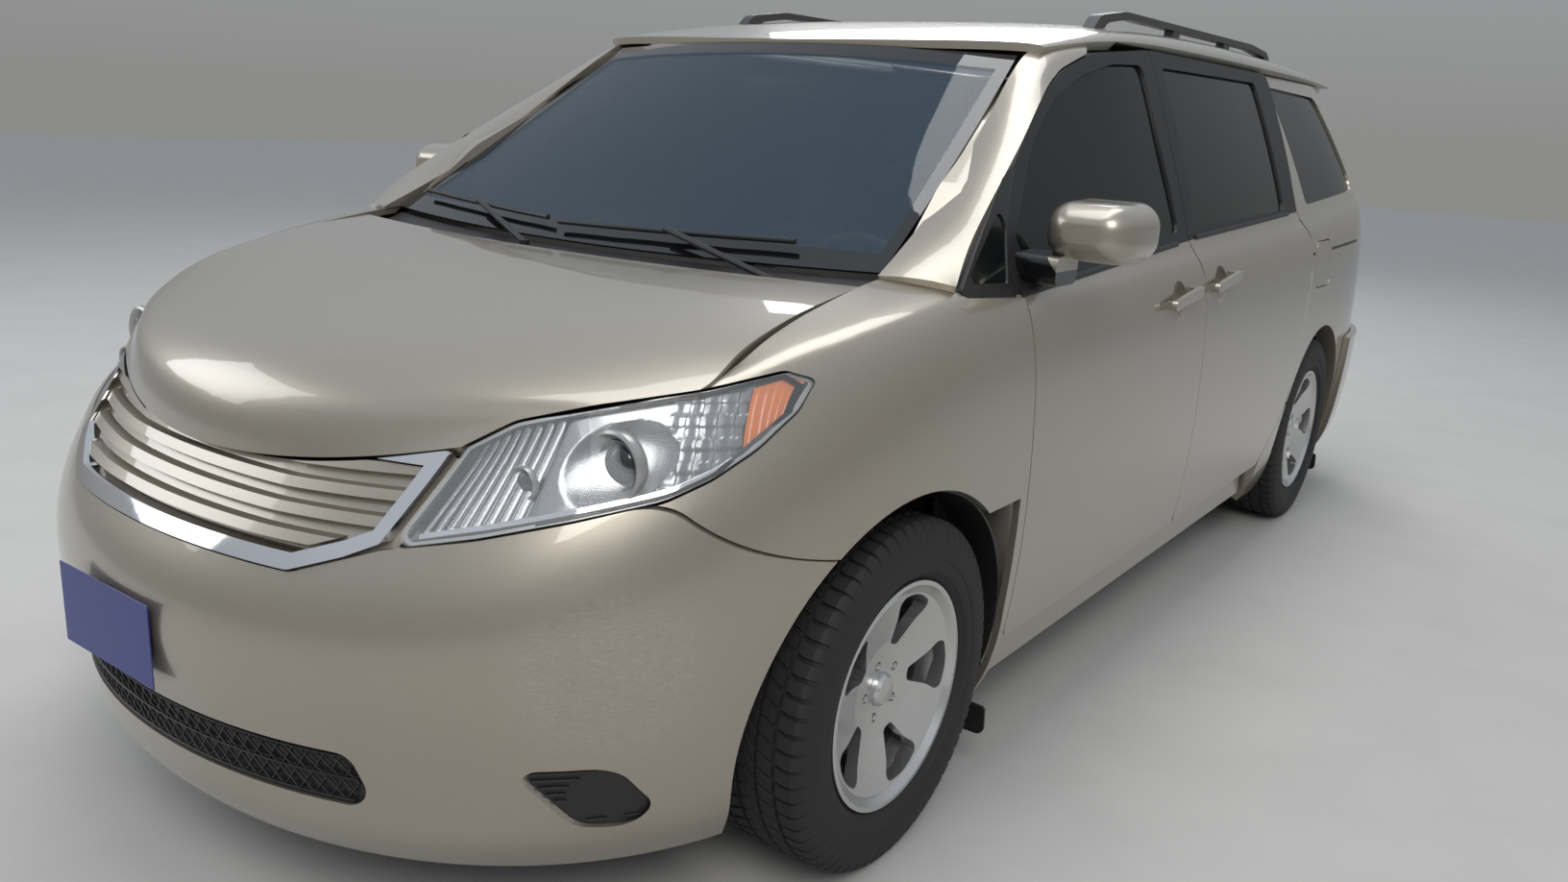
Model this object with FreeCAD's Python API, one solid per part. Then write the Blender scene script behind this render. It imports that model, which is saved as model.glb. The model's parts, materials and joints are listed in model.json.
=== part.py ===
"""Minivan, full size, built as separate body panels, glass, running gear and cabin pieces.

Frame: +Z up, the nose faces -Y, the vehicle's left side is +X. The origin lies on the ground
midway between the bumpers. Lengths are in millimetres.
"""
import FreeCAD
import Part
import math
import os

from FreeCAD import Vector

os.makedirs("parts", exist_ok=True)

# Driving dimensions of the whole vehicle
LENGTH = 5085.0
HALF_WIDTH = 990.0
WHEELBASE = 3030.0
FRONT_OVERHANG = 985.0
HALF_TRACK = 860.0
SILL_Z = 180.0
GAP = 5.0
SEAT_GAP = 0.3

NOSE_Y = -LENGTH / 2
TAIL_Y = LENGTH / 2
FRONT_AXLE_Y = NOSE_Y + FRONT_OVERHANG
REAR_AXLE_Y = FRONT_AXLE_Y + WHEELBASE

# Plan outline: straight sides, then superellipse ends that start at these stations
NOSE_BOW_START_Y = -1000.0
NOSE_POWERS = (4, 2)
TAIL_BOW_START_Y = 900.0
TAIL_POWERS = (8, 4)

# Tyres, rims and arches
TYRE_RADIUS = 354.0
TYRE_WIDTH = 235.0
RIM_RADIUS = 231.0
RIM_WIDTH = 208.0
BEAD_RADIUS = 216.0
FLANGE = 9.0
HUB_FACE_OUT = 42.0
ARCH_RADIUS = 412.0
AXLE_Z = TYRE_RADIUS
BOLT_CIRCLE_RADIUS = 57.15
BOLT_COUNT = 5
BOLT_RADIUS = 9.5
HUB_BORE_RADIUS = 30.0
SPOKES = 5

# Thicknesses of walls and skins
PANEL = 16.0
HOOD_WALL = 26.0
DOOR_FRAME = 38.0
DOOR_WALL = 118.0
PILLAR = 60.0
FRAME_GAP = 8.0
GLASS = 5.0
GLASS_DEPTH = 8.0
ROOF_WALL = 34.0
GATE_WALL = 60.0
QUARTER_WALL = 70.0
PLATE_ROOM = 8.0

# Seams. Side outlines are stated at the widest skin, and run inward and forward by SEAM_LEAN,
# so that the rear edge of a swinging door clears the edge behind it.
SEAM_LEAN = 0.3
FRONT_DOOR_Y = -1112.0
QUARTER_FRONT_Y = 870.0
B_SEAM_Y = 0.0
DOOR_BOTTOM_Z = 330.0
DOOR_TOP_Z = 1650.0
CABIN_HALF = 800.0


def smooth(t):
    """0 below 0, 1 above 1, and an S between them."""
    t = min(max(t, 0.0), 1.0)
    return t * t * (3 - 2 * t)


def curve_through(rows, key=0, column=1):
    """A smooth function through one column of a table, straight beyond its ends."""
    xs = [row[key] for row in rows]
    ys = [row[column] for row in rows]
    count = len(xs)
    slopes = []
    for i in range(count):
        low, high = max(i - 1, 0), min(i + 1, count - 1)
        slopes.append((ys[high] - ys[low]) / (xs[high] - xs[low]))

    def value(x):
        if x <= xs[0]:
            return ys[0] + slopes[0] * (x - xs[0])
        if x >= xs[-1]:
            return ys[-1] + slopes[-1] * (x - xs[-1])
        i = max(k for k in range(count - 1) if xs[k] <= x)
        step = xs[i + 1] - xs[i]
        t = (x - xs[i]) / step
        return (
            ys[i] * (1 + 2 * t) * (1 - t) ** 2
            + slopes[i] * step * t * (1 - t) ** 2
            + ys[i + 1] * t * t * (3 - 2 * t)
            + slopes[i + 1] * step * t * t * (t - 1)
        )

    return value


# Belt line seen from the side, which runs on as the front wing's crest: (y, z)
belt = curve_through(
    [
        (-2560, 835), (-2300, 905), (-2000, 985), (-1700, 1050), (-1400, 1095),
        (-1100, 1113), (0, 1146), (1100, 1182), (1900, 1222), (2560, 1245),
    ]
)

# Lower body section, from the sill over the wing's crest to the hood's edge:
# (share of the way up, share of the belt height, rise of the crest, inset at nose, side, tail)
SECTION = [
    (0.00, 0.00, 0.000, 85, 75, 80),
    (0.08, 0.08, 0.000, 45, 40, 40),
    (0.18, 0.18, 0.000, 40, 20, 30),
    (0.33, 0.33, 0.000, 20, 6, 30),
    (0.50, 0.50, 0.000, 0, 0, 45),
    (0.66, 0.66, 0.000, 12, 3, 60),
    (0.80, 0.80, 0.000, 70, 10, 68),
    (0.92, 0.92, 0.000, 152, 30, 80),
    (1.00, 1.00, 0.000, 175, 62, 98),
    (1.08, 1.00, 0.025, 190, 110, 120),
    (1.25, 1.00, 0.045, 240, 230, 150),
]
height_share = curve_through(SECTION, 0, 1)
crest_rise = curve_through(SECTION, 0, 2)
nose_inset = curve_through(SECTION, 0, 3)
side_inset = curve_through(SECTION, 0, 4)
tail_inset = curve_through(SECTION, 0, 5)
CREST_START_Y = -2050.0
CREST_RUN = 250.0
LOWER_ROWS = [0.0, 0.08, 0.18, 0.33, 0.5, 0.66, 0.8, 0.9]
WING_ROWS = LOWER_ROWS + [0.96, 1.0, 1.04, 1.08, 1.14, 1.2, 1.25]

# Window side: half width at the belt and at the door tops: (y, x)
belt_half = curve_through([(-1450, 890), (-1150, 915), (0, 928), (900, 928), (1600, 918), (2400, 900)])
rail_half = curve_through(
    [(-1100, 655), (-700, 700), (-300, 742), (200, 757), (900, 756), (1700, 744), (2300, 700)]
)
WINDOW_BULGE = 10.0
WINDOW_ROWS = [0.0, 0.25, 0.5, 0.75, 1.0]
TAIL_LEAN = 215.0
TAIL_NARROWING = 20.0

# Roof: centre line (y, z), the height of its side edge, how far that edge drops towards the
# windshield (y, drop), and the power of its cross section
roof_centre = curve_through(
    [
        (-740, 1622), (-500, 1668), (-200, 1712), (200, 1738), (700, 1750), (1300, 1744), (1900, 1716),
        (2300, 1680),
    ]
)
ROOF_EDGE_Z = DOOR_TOP_Z + GAP
roof_edge_drop = curve_through(
    [(-1000, 150), (-660, 46), (-480, 20), (-280, 5), (-50, 0), (500, 0), (2300, 0)]
)
ROOF_POWER = 3.0
HEADER_Y = -745.0
HEADER_BOW = 90.0
ROOF_END_Y = 2130.0
SPOILER_END_Y = 2262.0

# Hood: (y, z on the centre line, x, y, z along its edge), from the nose to the cowl
HOOD = [
    (-2392, 826, 532, -2246, 896),
    (-2384, 885, 600, -2180, 938),
    (-2345, 950, 690, -2104, 966),
    (-2230, 1008, 790, -1994, 992),
    (-2020, 1056, 786, -1880, 1044),
    (-1800, 1092, 774, -1700, 1088),
    (-1575, 1114, 767, -1490, 1118),
]
# Windshield: the same columns, from its base to the header
SCREEN = [
    (-1500, 1124, 765, -1400, 1136),
    (-1300, 1258, 738, -1210, 1246),
    (-1020, 1444, 700, -930, 1426),
    (-750, 1618, 655, -660, 1604),
]


def nose_reach(up):
    """How far the nose stands ahead of its bow's start; the plate hangs in front of it."""
    return NOSE_BOW_START_Y - NOSE_Y - PLATE_ROOM - nose_inset(up)


def side(y, up):
    """Lower body's skin at station y: up is 0 at the sill, 1 at the belt, 1.25 at the hood's edge."""
    x = HALF_WIDTH - side_inset(up)
    if y < NOSE_BOW_START_Y:
        share = (NOSE_BOW_START_Y - y) / nose_reach(up)
        x *= max(1 - share ** NOSE_POWERS[0], 0) ** (1 / NOSE_POWERS[1])
    return Vector(x, y, section_z(y, up))


def section_z(y, up):
    share = height_share(up) + crest_rise(up) * smooth((y - CREST_START_Y) / CREST_RUN)
    return SILL_Z + share * (belt(y) - SILL_Z)


def nose(angle, up):
    """The same skin round the front: angle is 0 on the centre line and 90 at the straight side."""
    turn = math.radians(angle)
    reach = nose_reach(up)
    x = (HALF_WIDTH - side_inset(up)) * math.sin(turn)
    y = NOSE_BOW_START_Y - reach * math.cos(turn) ** (2 / NOSE_POWERS[0])
    return Vector(x, y, section_z(y, up))


def tail_size(up):
    """Half width, reach and height rule of the tail's plan at a row: up over 1 is on the window side."""
    if up < 0.99:
        return HALF_WIDTH - side_inset(up), TAIL_Y - tail_inset(up) - TAIL_BOW_START_Y
    up -= 1
    half = window_side(TAIL_BOW_START_Y, up).x - TAIL_NARROWING * up
    return half, TAIL_Y - tail_inset(1.0) - TAIL_LEAN * up - TAIL_BOW_START_Y


def tail_z(y, up):
    return section_z(y, up) if up < 0.99 else window_side(y, up - 1).z


def tail_side(share, up, out=0.0):
    """Rear quarter's skin: share is 0 where the tail's bow starts and 1 at the tail."""
    half, reach = tail_size(up)
    y = TAIL_BOW_START_Y + (reach + out) * share
    x = (half + out) * (1 - share ** TAIL_POWERS[0]) ** (1 / TAIL_POWERS[1])
    return Vector(x, y, tail_z(y, up))


def tail_back(across, up, out=0.0):
    """The same skin across the tail, where across is x as a share of the half width."""
    half, reach = tail_size(up)
    y = TAIL_BOW_START_Y + (reach + out) * (1 - abs(across) ** TAIL_POWERS[1]) ** (1 / TAIL_POWERS[0])
    return Vector(across * (half + out), y, tail_z(y, up))


def window_side(y, up):
    """Window side's skin: up is 0 at the belt and 1 at the door tops."""
    low, high = belt(y), DOOR_TOP_Z
    x = belt_half(y) + (rail_half(y) - belt_half(y)) * up + WINDOW_BULGE * 4 * up * (1 - up)
    return Vector(x, y, low + (high - low) * up)


def whole_side(y, up):
    """Skin from the sill to the door tops: up over 1 is on the window side."""
    return side(y, up) if up < 0.99 else window_side(y, up - 1)


WHOLE_ROWS = LOWER_ROWS + [0.96] + [1 + up for up in WINDOW_ROWS]


def roof_at(across, y):
    """Roof's skin: across is -1 to 1 between the side edges."""
    rise = (1 - abs(across) ** ROOF_POWER) ** (1 / ROOF_POWER)
    edge_z = ROOF_EDGE_Z - roof_edge_drop(y)
    return Vector(across * rail_half(y), y, edge_z + (roof_centre(y) - edge_z) * rise)


def roof(across, along):
    """The same skin, where along is 0 at the bowed windshield header and 1 at the liftgate."""
    front = HEADER_Y + HEADER_BOW * across ** 2
    return roof_at(across, front + (ROOF_END_Y - front) * along)


def crowned(rows):
    """A surface between a centre line and mirrored edges: f(across, row)."""
    keyed = [(i, *row) for i, row in enumerate(rows)]
    columns = [curve_through(keyed, 0, c) for c in range(1, 6)]

    def point(across, row):
        y_mid, z_mid, x_edge, y_edge, z_edge = (c(row) for c in columns)
        bow = across ** 2
        return Vector(across * x_edge, y_mid + (y_edge - y_mid) * bow, z_mid + (z_edge - z_mid) * bow)

    return point


hood_skin = crowned(HOOD)
screen_skin = crowned(SCREEN)


# Solids from surfaces
def spaced(low, high, count):
    return [low + (high - low) * i / (count - 1) for i in range(count)]


def through(points):
    """Poles of an even cubic spline that runs through a row of points."""
    poles = [points[0]]
    for before, here, after in zip(points, points[1:], points[2:]):
        poles.append(here - (before + after - here * 2) * (1 / 6))
    poles.append(points[-1])
    return [poles[0] * 2 - poles[1]] + poles + [poles[-1] * 2 - poles[-2]]


def skin(points):
    """Smooth surface through a grid of points."""
    rows = [through(row) for row in points]
    columns = [through(list(column)) for column in zip(*rows)]
    poles = [list(row) for row in zip(*columns)]
    u_knots = [float(i) for i in range(-3, len(points) + 3)]
    v_knots = [float(i) for i in range(-3, len(points[0]) + 3)]
    surface = Part.BSplineSurface()
    surface.buildFromPolesMultsKnots(
        poles, [1] * len(u_knots), [1] * len(v_knots), u_knots, v_knots, False, False, 3, 3
    )
    surface.segment(0.0, len(points) - 1.0, 0.0, len(points[0]) - 1.0)
    return surface


def sunk(points, depth, inward):
    """The grid moved below its surface by depth, a number or a function of the row's value."""
    moved = []
    for i, row in enumerate(points):
        moved.append([])
        for j, here in enumerate(row):
            along = points[min(i + 1, len(points) - 1)][j] - points[max(i - 1, 0)][j]
            over = row[min(j + 1, len(row) - 1)] - row[max(j - 1, 0)]
            normal = along.cross(over).normalize() * inward
            amount = depth[j] if isinstance(depth, list) else depth
            moved[-1].append(here + normal * amount)
    return moved


def slab(function, us, vs, outer_depth, inner_depth):
    """Closed solid between two depths below the skin function(u, v), left half or whole."""
    points = [[function(u, v) for v in vs] for u in us]
    middle = points[len(us) // 2][len(vs) // 2]
    along = points[len(us) // 2 + 1][len(vs) // 2] - middle
    over = points[len(us) // 2][len(vs) // 2 + 1] - middle
    inward = 1 if along.cross(over).dot(Vector(middle.x, middle.y * 0.3, middle.z - 600)) < 0 else -1
    outer = skin(sunk(points, outer_depth, inward))
    inner = skin(sunk(points, inner_depth, inward))
    faces = [outer.toShape(), inner.toShape()]
    u0, u1, v0, v1 = outer.bounds()
    for at in (u0, u1):
        faces.append(Part.makeRuledSurface(outer.uIso(at).toShape(), inner.uIso(at).toShape()))
    for at in (v0, v1):
        faces.append(Part.makeRuledSurface(outer.vIso(at).toShape(), inner.vIso(at).toShape()))
    shell = Part.Shell(faces)
    shell.sewShape()
    solid = Part.Solid(shell)
    if solid.Volume < 0:
        solid.reverse()
    return solid


def outline(points, axis, start, end, grow=0.0, lean=0.0):
    """Prism from a flat outline of (a, b) or (a, b, corner radius) points.

    Along X the points are (y, z), along Y (x, z) and along Z (x, y). grow moves the outline
    outward, and lean turns an X prism so that y grows with x, exact at the widest skin.
    """
    def place(a, b):
        if axis == "X":
            return Vector(start, a + (start - HALF_WIDTH) * lean, b)
        return Vector(a, start, b) if axis == "Y" else Vector(a, b, start)

    corners = [(place(p[0], p[1]), p[2] if len(p) > 2 else 0.0) for p in points]
    count = len(corners)
    ends = []
    for i, (corner, radius) in enumerate(corners):
        back = corners[i - 1][0] - corner
        on = corners[(i + 1) % count][0] - corner
        if radius <= 0:
            ends.append((corner, corner, None))
            continue
        half = back.getAngle(on) / 2
        run = min(radius / math.tan(half), 0.48 * back.Length, 0.48 * on.Length)
        back.normalize()
        on.normalize()
        real = run * math.tan(half)
        inward = (back + on).normalize()
        middle = corner + inward * (real / math.sin(half) - real)
        ends.append((corner + back * run, corner + on * run, middle))
    edges = []
    for i, (first, last, middle) in enumerate(ends):
        if middle is not None:
            edges.append(Part.Arc(first, middle, last).toShape())
        following = ends[(i + 1) % count][0]
        if (following - last).Length > 0.01:
            edges.append(Part.LineSegment(last, following).toShape())
    wire = Part.Wire(edges)
    if grow:
        wire = wire.makeOffset2D(grow)
    run = end - start
    way = {"X": Vector(run, run * lean, 0), "Y": Vector(0, run, 0), "Z": Vector(0, 0, run)}[axis]
    return Part.Face(wire).extrude(way)


def through_side(points, grow=0.0, lean=SEAM_LEAN):
    """Prism through the left side of the body from (y, z) points."""
    return outline(points, "X", 300, 1300, grow, lean)


def through_front(points, grow=0.0):
    """Prism through the nose from (x, z) points."""
    return outline(points, "Y", NOSE_Y - 100, NOSE_BOW_START_Y - 150, grow)


def through_back(points, grow=0.0):
    return outline(points, "Y", 1900, TAIL_Y + 200, grow)


def box(low, high):
    size = [high[i] - low[i] for i in range(3)]
    return Part.makeBox(*size, Vector(*low))


def rod(start, end, radius):
    way = Vector(*end) - Vector(*start)
    return Part.makeCylinder(radius, way.Length, Vector(*start), way)


def mirrored(shape):
    return shape.mirror(Vector(0, 0, 0), Vector(1, 0, 0))


def both(shape):
    return [shape, mirrored(shape)]


def joined(shapes):
    result = shapes[0].fuse(shapes[1:]) if len(shapes) > 1 else shapes[0]
    return result.removeSplitter()


def export(node, shapes):
    """Writes one node from a shape or a list of them, and reports what looks wrong."""
    solids = []
    for shape in shapes if isinstance(shapes, list) else [shapes]:
        solids += shape.Solids
    if not solids or not all(s.isValid() and s.Volume > 0 for s in solids):
        print("bad solid in", node)
    print(node, len(solids), round(sum(s.Volume for s in solids) / 1e6, 2))
    Part.Compound(solids).exportStep(os.path.join("parts", node + ".step"))


# Outlines that neighbouring pieces share
LAMP = [
    (488, 745, 20), (530, 893, 10), (586, 935, 60), (679, 964, 200), (795, 991, 200), (856, 1014, 8),
    (884, 1000, 12), (885, 955, 40), (868, 902, 80), (841, 862, 60), (805, 833, 60), (715, 804, 200),
    (605, 772, 200),
]
GRILLE = [
    (-345, 690, 40), (345, 690, 40), (430, 722, 60), (480, 748, 10), (520, 892, 10),
    (-520, 892, 10), (-480, 748, 10), (-430, 722, 60),
]
BUMPER_TOP = [
    (-345, 690, 60), (345, 690, 60), (480, 742, 120), (605, 768, 200), (715, 800, 200), (805, 831, 60),
    (962, 680), (1100, 600), (1100, 100), (-1100, 100), (-1100, 600), (-962, 680),
    (-805, 831, 60), (-715, 800, 200), (-605, 768, 200), (-480, 742, 120),
]
FRONT_DOOR = [
    (FRONT_DOOR_Y, DOOR_BOTTOM_Z, 30), (FRONT_DOOR_Y, 1150, 60), (-1035, 1263, 200), (-923, 1362, 600),
    (-749, 1478, 600), (-569, 1561, 500), (-391, 1615, 400), (-20, DOOR_TOP_Z, 12), (-55, 1400, 500),
    (-55, 1150, 60), (B_SEAM_Y, 1055, 60), (B_SEAM_Y, DOOR_BOTTOM_Z, 30),
]
FRONT_DOOR_GLASS = [
    (-1075, 1168, 25), (-832, 1394, 900), (-655, 1495, 500), (-483, 1556, 400), (-297, 1596, 400),
    (-105, 1606, 25), (-132, 1400, 600), (-118, 1178, 25),
]
SLIDING_DOOR = [
    (B_SEAM_Y + GAP, DOOR_BOTTOM_Z, 30), (B_SEAM_Y + GAP, 1057, 60), (-50, 1152, 60), (-50, 1400, 500),
    (-15, DOOR_TOP_Z, 12), (1110, DOOR_TOP_Z, 30), (1085, 1180, 40), (1195, 1100, 40), (1190, 1000, 200),
    (1080, 510, 160), (880, DOOR_BOTTOM_Z, 60),
]
SLIDING_GLASS = [(8, 1190, 25), (35, 1608, 25), (925, 1614, 25), (930, 1208, 25)]
QUARTER_GLASS = [(1225, 1218, 30), (1150, 1612, 30), (1800, 1602, 80), (2030, 1262, 40)]
# Liftgate edges as (x, z) seen from behind
GATE_LOW_Z = 585.0
GATE = [
    (-800, GATE_LOW_Z, 60), (800, GATE_LOW_Z, 60), (800, 1030, 80), (770, 1180, 200), (690, 1640, 60),
    (640, 1800), (-640, 1800), (-690, 1640, 60), (-770, 1180, 200), (-800, 1030, 80),
]
GATE_GLASS = [
    (-700, 1190, 60), (700, 1190, 60), (655, 1440, 400), (600, 1610, 60), (-600, 1610, 60), (-655, 1440, 400),
]


def arch(axle_y, radius):
    """Cylinders through the left side at one wheel."""
    return rod((300, axle_y, AXLE_Z), (1300, axle_y, AXLE_Z), radius)


def door_wall(extra=0.0):
    """Inner depth of a door at each of the whole side's rows."""
    depths = []
    for up in WHOLE_ROWS:
        share = 1 - smooth((up - 0.84) / 0.16)
        depths.append(DOOR_FRAME + (DOOR_WALL - DOOR_FRAME) * share + extra)
    return depths


# Side of the body
def side_slab(first_y, last_y, outer_depth, inner_depth, count=12):
    return slab(whole_side, spaced(first_y, last_y, count), WHOLE_ROWS, outer_depth, inner_depth)


def window_pane(points, first_y, last_y, depth=GLASS_DEPTH):
    """Pane that sits in its opening with the seat gap all round."""
    rows = [-0.12] + WINDOW_ROWS
    pane = slab(window_side, spaced(first_y, last_y, 9), rows, depth, depth + GLASS)
    return pane.common(through_side(points, -SEAT_GAP))


FRONT_HANDLE = (-226.0, 1016.0)
SLIDING_HANDLE = (128.0, 1034.0)
HANDLE_HALF = 108.0
HANDLE_TILT = 12.0
HANDLE_OUT = (17.0, 31.0)
CUP_RADIUS = 72.0
CUP_OUT = 48.0


def door_handle(y, z):
    """Pull handle on two feet, and the ball that cuts the cup behind it."""
    x = side(y, (z - SILL_Z) / (belt(y) - SILL_Z)).x
    half, tilt = HANDLE_HALF, HANDLE_TILT
    bar = outline(
        [
            (y - half, z - tilt - 13, 12), (y - half, z - tilt + 12, 12), (y + half, z + tilt + 15, 13),
            (y + half, z + tilt - 14, 13),
        ],
        "X", x + HANDLE_OUT[0], x + HANDLE_OUT[1],
    )
    feet = [
        box((x - 30, y + at - 13, z + lift - 10), (x + HANDLE_OUT[0] + 3, y + at + 13, z + lift + 10))
        for at, lift in ((-86, -tilt), (86, tilt))
    ]
    return [bar] + feet, Part.makeSphere(CUP_RADIUS, Vector(x + CUP_OUT, y, z))


def front_door():
    blank = side_slab(FRONT_DOOR_Y - 90, B_SEAM_Y + 60, 0, door_wall())
    door = blank.common(through_side(FRONT_DOOR)).cut(through_side(FRONT_DOOR_GLASS))
    handle, cup = door_handle(*FRONT_HANDLE)
    return joined([door.cut(cup)] + handle)


def sliding_door():
    blank = side_slab(-110, 1230, 0, door_wall())
    door = blank.common(through_side(SLIDING_DOOR)).cut(through_side(SLIDING_GLASS))
    door = door.cut(arch(REAR_AXLE_Y, ARCH_RADIUS + GAP))
    handle, cup = door_handle(*SLIDING_HANDLE)
    return joined([door.cut(cup)] + handle)


FRAME_FRONT_Y = FRONT_DOOR_Y - 250.0
FRAME_EDGE = [
    (FRONT_DOOR_Y - 20, DOOR_BOTTOM_Z - 100), (FRONT_DOOR_Y - 20, 1040, 30), (-1310, 1072, 20),
    (-1310, 1120, 20), (-1080, 1300, 200), (-880, 1402, 600), (-725, 1478, 600), (-555, 1548, 500),
    (-385, 1594, 400), (-60, 1640), (1080, 1640), (1080, 1180), (1150, 1080), (1140, 700),
    (990, DOOR_BOTTOM_Z - 100),
]
FRONT_OPENING = [
    (FRONT_DOOR_Y + 70, 350, 60), (FRONT_DOOR_Y + 70, 1075, 80), (-800, 1335, 600), (-500, 1490, 400),
    (-330, 1556, 200), (-100, 1588, 40), (-110, 1150, 100), (B_SEAM_Y - 60, 1000, 60),
    (B_SEAM_Y - 60, 350, 60),
]
SLIDING_OPENING = [
    (B_SEAM_Y + 75, 350, 60), (B_SEAM_Y + 75, 1000, 60), (45, 1150, 60), (60, 1588, 40),
    (985, 1588, 60), (1000, 700, 200), (870, 350, 80),
]
SEAL = 25.0


def side_frame():
    """Sill, pillars and roof rail that the doors close against, with the visible sill below them."""
    inner = FRAME_GAP + PILLAR
    ring = side_slab(FRAME_FRONT_Y, 1215, door_wall(FRAME_GAP), door_wall(inner), 14)
    for opening in (FRONT_OPENING, SLIDING_OPENING, QUARTERLIGHT):
        ring = ring.cut(through_side(opening))
    ring = ring.common(through_side(FRAME_EDGE)).cut(box((300, -2000, 0), (CABIN_HALF, 2000, 560)))
    ring = largest(ring.cut(arch(FRONT_AXLE_Y, ARCH_RADIUS)).cut(wing_room(-60)).cut(windshield_room()))
    seals = side_slab(FRONT_DOOR_Y - 60, 1215, door_wall(SEAT_GAP), door_wall(FRAME_GAP + 4))
    strips = [
        seals.common(through_side([(y, 420), (y, 980), (y + SEAL, 980), (y + SEAL, 420)]))
        for y in (B_SEAM_Y - 50, B_SEAM_Y + 30)
    ]
    sill_top = DOOR_BOTTOM_Z - GAP
    first, last = FRONT_DOOR_Y, QUARTER_FRONT_Y - GAP
    skin_part = slab(side, spaced(first, last, 5), LOWER_ROWS[:5], 0, 100)
    skin_part = skin_part.common(box((300, first, 0), (1300, last, sill_top)))
    core = box((CABIN_HALF, first, SILL_Z + 40), (CABIN_HALF + 120, last, sill_top))
    return joined([ring, skin_part, core] + strips)


def largest(shape):
    """The biggest solid of a shape that a cut left in pieces."""
    return max(shape.Solids, key=lambda solid: solid.Volume)


def quarter_panel():
    wall = [min(depth, QUARTER_WALL) for depth in door_wall()]
    body = quarter_shell(0, wall).cut(through_side(SLIDING_DOOR, GAP)).cut(through_side(QUARTER_GLASS))
    body = body.cut(through_back(GATE, GAP)).cut(arch(REAR_AXLE_Y, ARCH_RADIUS))
    y = QUARTER_FRONT_Y
    front = through_side([(y, 0), (y, 330), (1100, 520), (1100, 2000), (3000, 2000), (3000, 0)])
    body = body.common(front).cut(through_back(REAR_BUMPER_TOP, GAP))
    return largest(body.cut(through_back(TAIL_LAMP, SEAT_GAP)))


REAR_BUMPER_TOP = [
    (-1200, 100), (1200, 100), (1200, 640), (900, 690, 60), (780, 690, 40), (770, 575, 30),
    (-770, 575, 30), (-780, 690, 40), (-900, 690, 60), (-1200, 640),
]
TAIL_LAMP = [
    (830, 760, 10), (790, 1050, 20), (800, 1130, 30), (900, 1130, 60), (960, 1020, 100), (935, 860, 60),
    (880, 760, 30),
]


def front_bumper():
    """Wrap-round bumper skin with its lower intake and fog pockets cut, and the beam behind it."""
    rows = LOWER_ROWS + [0.96, 1.0]
    blank = slab(nose, spaced(-76, 76, 17), rows, 0, PANEL)
    cover = blank.common(through_front(BUMPER_TOP))
    for prism in (LOWER_INTAKE, FOG_POCKET, [(-x, z, r) for x, z, r in reversed(FOG_POCKET)]):
        cover = cover.cut(through_front(prism))
    for wheel in both(arch(FRONT_AXLE_Y, ARCH_RADIUS)):
        cover = cover.cut(wheel)
    return cover


LOWER_INTAKE = [(-455, 404, 30), (455, 404, 30), (480, 300, 40), (-480, 300, 40)]
FOG_POCKET = [(676, 398, 20), (790, 396, 40), (818, 309, 40), (790, 272, 40), (735, 282, 40)]


def fender():
    blank = slab(side, spaced(-2190, FRONT_DOOR_Y - GAP, 10), WING_ROWS, 0, PANEL)
    wing = blank.cut(arch(FRONT_AXLE_Y, ARCH_RADIUS))
    wing = wing.cut(through_front(LAMP, GAP)).cut(through_front(BUMPER_TOP, GAP))
    hood_edge = [(row[2] + GAP, row[3]) for row in HOOD[2:]]
    outer = [(300, -2400), (hood_edge[0][0], -2400)] + hood_edge + [(hood_edge[-1][0], -1000), (300, -1000)]
    wing = wing.cut(outline(outer, "Z", 700, 1300)).cut(through_side(QUARTERLIGHT_FRAME, SEAT_GAP))
    rear = FRONT_DOOR_Y - GAP
    keep = through_side([(-2400, 100), (-2400, 1300), (-1500, 1300), (rear, 1108, 20), (rear, 100)])
    return largest(wing.common(keep).cut(hood_slab(-GAP, HOOD_WALL + GAP)))


def mirror_x(points):
    """The same outline on the other side."""
    return [(-p[0], *p[1:]) for p in reversed(points)]


def hood_slab(outer, inner):
    return slab(hood_skin, spaced(-0.999, 0.999, 11), spaced(0.03, len(HOOD) - 1, 13), outer, inner)


def hood():
    """Hood with its inner wall as one panel, cut to clear the lamps and the grille."""
    panel = hood_slab(0, HOOD_WALL)
    for lamp in (LAMP, mirror_x(LAMP)):
        panel = panel.cut(through_front(lamp, GAP))
    return panel


ROOF_ROWS = [-0.999, -0.985, -0.94, -0.86, -0.72, -0.5, -0.25, 0, 0.25, 0.5, 0.72, 0.86, 0.94, 0.985, 0.999]


# Thickness at each of the roof's stations, thinner over the windshield
ROOF_DEPTHS = [20.0, 28.0] + [ROOF_WALL] * 11


def roof_slab(grow=0.0):
    stations = spaced(0, 1, len(ROOF_DEPTHS))
    return slab(roof, ROOF_ROWS, stations, -grow, [depth + grow for depth in ROOF_DEPTHS])


def roof_panel():
    """Roof skin with its lining, level along the underside of its side edges."""
    panel = roof_slab()
    for sign in (-1, 1):
        inner, outer = sorted((sign * (HALF_WIDTH - 350), sign * HALF_WIDTH))
        panel = panel.cut(box((inner, -300, 1400), (outer, TAIL_Y, ROOF_EDGE_Z)))
    return panel


SCREEN_DEPTH = 4.0


def windshield():
    """Glass that stops short of the pillars' inner faces."""
    rows = spaced(0.04, len(SCREEN) - 1.04, 7)
    return slab(screen_skin, spaced(-0.985, 0.985, 9), rows, SCREEN_DEPTH, SCREEN_DEPTH + GLASS)


def windshield_room():
    """Space from outside the windshield down to a seat gap below it."""
    rows = spaced(0.0, len(SCREEN) - 1, 7)
    return slab(screen_skin, spaced(-1.0, 1.0, 9), rows, -60, SCREEN_DEPTH + GLASS + SEAT_GAP)


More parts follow.
